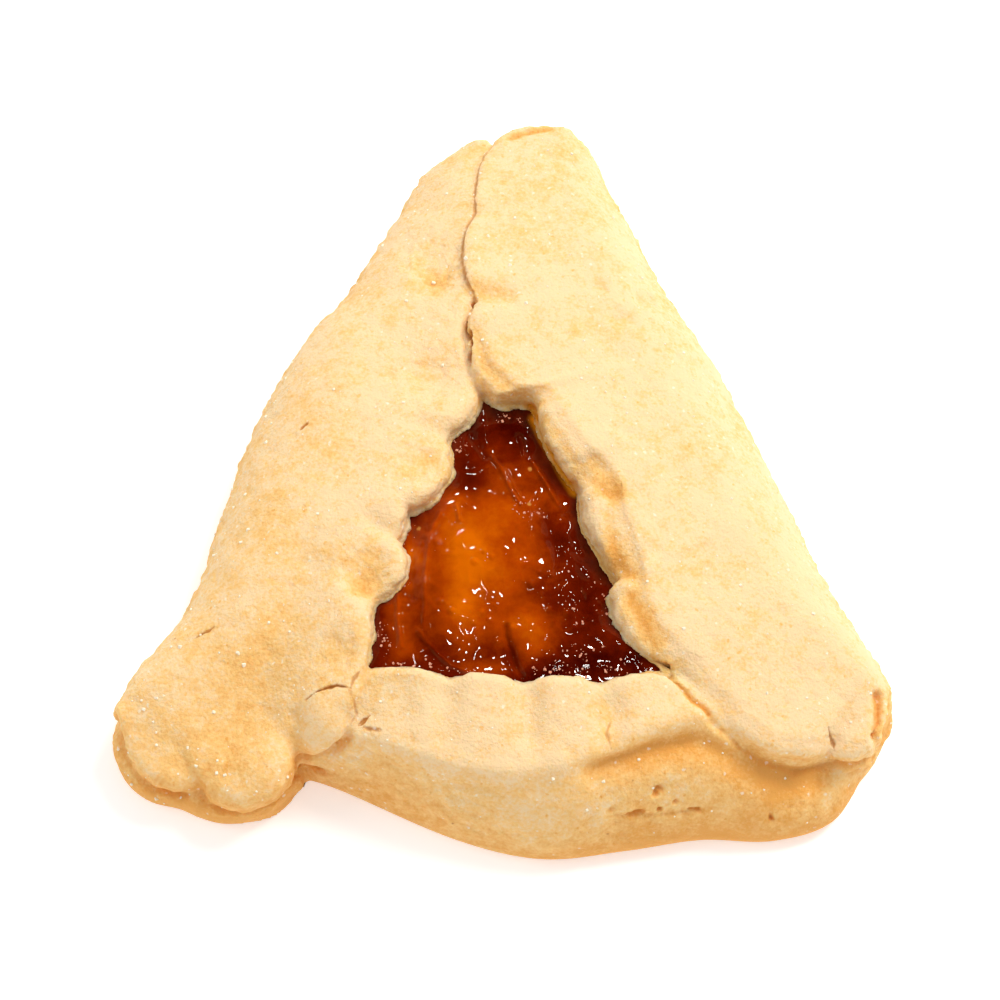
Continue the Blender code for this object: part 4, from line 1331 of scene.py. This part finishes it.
@dataclass
class SugarGrains:
    """Grains of white sugar, half sunk in the crust."""

    placed: tuple[Plan, ...] = (
        (-22.2, -19.3), (-26.9, -33.0), (-26.1, -33.2), (-24.5, -23.1), (-27.3, -27.3), (-30.7, -21.0),
        (-20.2, -33.4), (-7.0, 17.7), (0.7, 18.7), (7.1, 34.2), (-3.7, 19.4), (2.3, 13.9),
        (-21.6, -12.6), (4.6, -34.8), (9.3, -34.6), (12.6, -32.6),
    )
    name: str = "sugar_grains"
    scattered: int = 420
    on_sides: int = 260
    smallest: float = 0.12
    largest: float = 0.34
    stretched: tuple[float, float] = (0.7, 1.2)
    seed: int = 5
    half_width: float = 36.0
    half_depth: float = 38.0
    from_above: float = 40.0
    from_aside: float = 60.0
    side_heights: tuple[float, float] = (2.0, 11.0)
    lowest: float = 1.5
    sunk: float = 0.08
    chamfer: float = 0.15

    def rays(self, draw: np.random.Generator) -> Iterable[tuple[Vector, Vector, float]]:
        """Yields the start and way of the ray that finds each grain's place, and the grain's size."""
        down = Vector((0, 0, -1))
        for x, y in self.placed:
            yield Vector((x, y, self.from_above)), down, self.largest
        for _ in range(self.scattered):
            x = draw.uniform(-self.half_width, self.half_width)
            y = draw.uniform(-self.half_depth, self.half_depth)
            yield Vector((x, y, self.from_above)), down, self.size(draw)
        for _ in range(self.on_sides):
            y = draw.uniform(-self.half_width, self.half_width)
            z = draw.uniform(*self.side_heights)
            inwards = 1 if draw.random() < 0.6 else -1
            yield Vector((-self.from_aside * inwards, y, z)), Vector((inwards, 0, 0)), self.size(draw)

    def size(self, draw: np.random.Generator) -> float:
        """Returns the size of one grain, small far more often than large."""
        return self.smallest + (self.largest - self.smallest) * draw.random() ** 3

    def finish(self) -> bpy.types.Material:
        """Returns the material of the grains."""
        return SugarFinish().material()

    def build(self, ground: bpy.types.Object) -> bpy.types.Object:
        """Builds the grains on the skin of a finished piece.

        Args:
            ground: The piece that the grains lie on.

        Returns:
            One object that holds every grain.
        """
        draw = np.random.default_rng(self.seed)
        tree = BVHTree.FromObject(ground, bpy.context.evaluated_depsgraph_get())
        mesh = bmesh.new()
        for start, way, size in self.rays(draw):
            hit, normal, _, _ = tree.ray_cast(start * MM, way)
            if hit is None or hit.z < self.lowest * MM:
                continue
            turn = Matrix.Rotation(draw.uniform(0, 6.28), 4, Vector(draw.normal(size=3)).normalized())
            stretch = Matrix.Diagonal((*(size * MM * draw.uniform(*self.stretched, 3)), 1))
            centre = hit - normal * size * MM * self.sunk
            cube = bmesh.ops.create_cube(mesh, size=1.0, matrix=Matrix.Translation(centre) @ turn @ stretch)
            edges = list({edge for vert in cube["verts"] for edge in vert.link_edges})
            chamfer = size * MM * self.chamfer
            bmesh.ops.bevel(mesh, geom=edges, offset=chamfer, segments=1, affect="EDGES")
        made = link(mesh, self.name)
        made.data.materials.append(self.finish())
        return made


@dataclass
class PaintedJamGlints(SugarGrains):
    """Tiny pale specks, half sunk in the jam, that are painted glints."""

    name: str = "jam_painted_glints"
    smallest: float = 0.07
    largest: float = 0.26
    stretched: tuple[float, float] = (0.4, 1.5)
    seed: int = 21
    groups: tuple[tuple[tuple[Plan, Plan], float, int], ...] = (
        (((2.6, -24.3), (8.1, -24.5)), 0.45, 34), (((8.1, -24.5), (13.6, -24.0)), 0.45, 22),
        (((4.4, -23.2), (9.6, -23.0)), 0.6, 22), (((8.4, -14.0), (9.6, -20.0)), 0.7, 20),
        (((1.5, -7.4), (4.0, -8.6)), 0.6, 26), (((6.2, -17.6), (7.2, -20.8)), 0.5, 14),
        (((-11.4, -20.0), (-11.0, -23.4)), 0.45, 26), (((-9.6, -23.6), (-3.0, -24.7)), 0.4, 24),
        (((-9.6, -9.0), (-9.2, -16.0)), 0.5, 16), (((-0.6, 2.2), (1.8, 2.0)), 0.35, 22),
        (((-4.4, 0.4), (-3.8, -1.4)), 0.4, 14), (((-5.0, -3.0), (5.0, -20.0)), 3.5, 26),
    )

    def rays(self, draw: np.random.Generator) -> Iterable[tuple[Vector, Vector, float]]:
        """Yields a ray straight down for each painted glint, near the paths of the groups."""
        for (start, end), spread, count in self.groups:
            for _ in range(count):
                along = np.array(start) + (np.array(end) - np.array(start)) * draw.random()
                x, y = along + draw.normal(size=2) * spread
                yield Vector((x, y, self.from_above)), Vector((0, 0, -1)), self.size(draw)

    def finish(self) -> bpy.types.Material:
        """Returns the material of the painted glints."""
        return PaintedGlintFinish().material()


@dataclass
class Studio:
    """The floor, the lights and the camera."""

    elevation: float = 64.0
    lens: float = 100.0
    distance: float = 0.2723
    target: tuple[float, float, float] = (-0.3, -4.8, 8.0)
    floor_size: float = 2.0
    floor_drop: float = 0.02
    lamp_colour: Colour = (1.0, 0.985, 0.96)
    lit_height: float = 0.008
    key_from: tuple[float, float, float] = (0.50, 0.42, 0.85)
    lamp_distance: float = 0.9
    key_size: float = 0.42
    key_power: float = 6.35
    ambient: float = 0.57
    fill_from: tuple[float, float, float] = (-0.75, 0.02, 0.60)
    fill_size: float = 0.5
    fill_power: float = 1.3
    spark_power: float = 1.0
    spark_size: float = 0.06
    sparks_from: tuple[tuple[float, float, float], ...] = (
        (0.33, 0.60, 0.71), (-0.24, 0.60, 0.76), (0.02, -0.10, 1.0))

    def floor(self) -> bpy.types.Object:
        """Lays a pale floor just under the biscuit."""
        mesh = bmesh.new()
        bmesh.ops.create_grid(mesh, x_segments=8, y_segments=8, size=self.floor_size)
        for vert in mesh.verts:
            vert.co.z = -self.floor_drop * MM
        made = link(mesh, "floor")
        made.data.materials.append(FloorFinish().material())
        return made

    def aimed(self, thing: bpy.types.Object, place: Vector, at: Vector) -> None:
        """Puts a lamp or camera at a place and turns it to look at a point."""
        thing.location = place
        thing.rotation_euler = (at - place).to_track_quat("-Z", "Y").to_euler()
        bpy.context.scene.collection.objects.link(thing)

    def lamp(self, name: str, place: tuple[float, float, float], size: float,
             power: float) -> bpy.types.Object:
        """Hangs a round lamp.

        Args:
            name: The lamp's name.
            place: The direction in which it hangs from the biscuit.
            size: Its diameter in metres.
            power: Its power in watts.

        Returns:
            The lamp, aimed at the biscuit.
        """
        data = bpy.data.lights.new(name, "AREA")
        data.shape = "DISK"
        data.size = size
        data.energy = power
        data.color = self.lamp_colour
        made = bpy.data.objects.new(name, data)
        self.aimed(made, Vector(place).normalized() * self.lamp_distance, Vector((0, 0, self.lit_height)))
        return made

    def lights(self) -> None:
        """Hangs the key lamp behind on the right, the fill on the left and the jam's glint lamps."""
        self.lamp("key", self.key_from, self.key_size, self.key_power).visible_glossy = False
        self.lamp("fill", self.fill_from, self.fill_size, self.fill_power).visible_glossy = False
        for i, place in enumerate(self.sparks_from):
            self.lamp(f"spark_{i}", place, self.spark_size, self.spark_power).visible_diffuse = False
        world = bpy.data.worlds.new("studio")
        bpy.context.scene.world = world
        tree = NodeTree(world)
        shine = tree.add("ShaderNodeLightPath").outputs["Is Glossy Ray"]
        strength = tree.add("ShaderNodeMapRange", {"Value": shine, "To Min": self.ambient, "To Max": 0.0})
        shader = tree.add("ShaderNodeBackground", {"Color": (1, 1, 1, 1),
                                                   "Strength": strength.outputs["Result"]})
        tree.surface(shader, "ShaderNodeOutputWorld")

    def camera(self) -> None:
        """Sets the camera at the photograph's angle."""
        data = bpy.data.cameras.new("camera")
        data.lens = self.lens
        data.clip_start = 0.01
        made = bpy.data.objects.new("camera", data)
        up = math.radians(self.elevation)
        middle = Vector(self.target) * MM - Vector((*MIDDLE, 0)) * MM
        back = Vector((0, -math.cos(up), math.sin(up)))
        self.aimed(made, middle + back * self.distance, middle)
        bpy.context.scene.camera = made

    def build(self) -> bpy.types.Object:
        """Sets up the whole studio and returns the floor."""
        bpy.context.scene.view_settings.view_transform = "Standard"
        self.lights()
        self.camera()
        return self.floor()


def centre(target: bpy.types.Object) -> None:
    """Shifts an object's mesh from the fold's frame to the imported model's."""
    target.data.transform(Matrix.Translation(Vector((-MIDDLE[0], -MIDDLE[1], 0)) * MM))


def main() -> None:
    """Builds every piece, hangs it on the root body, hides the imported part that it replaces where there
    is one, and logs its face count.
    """
    logging.basicConfig(level=logging.INFO, format="%(message)s")
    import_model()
    filling = JamFilling()
    dough = Dough(filling).build()
    grains = SugarGrains().build(dough)
    jam = filling.build()
    # Pale specks on the jam that are painted glints.
    crystals = PaintedJamGlints().build(jam)
    pieces = ((dough, "dough", "dough"), (jam, "jam", "jam"),
              (grains, None, "dough"), (crystals, None, "jam"))
    for piece, node, slot in pieces:
        centre(piece)
        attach(piece, "root")
        if node:
            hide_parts(node)
        LOG.info("%s: %d faces", piece.name, len(piece.data.polygons))
    Studio().build()


if __name__ == "__main__":
    main()
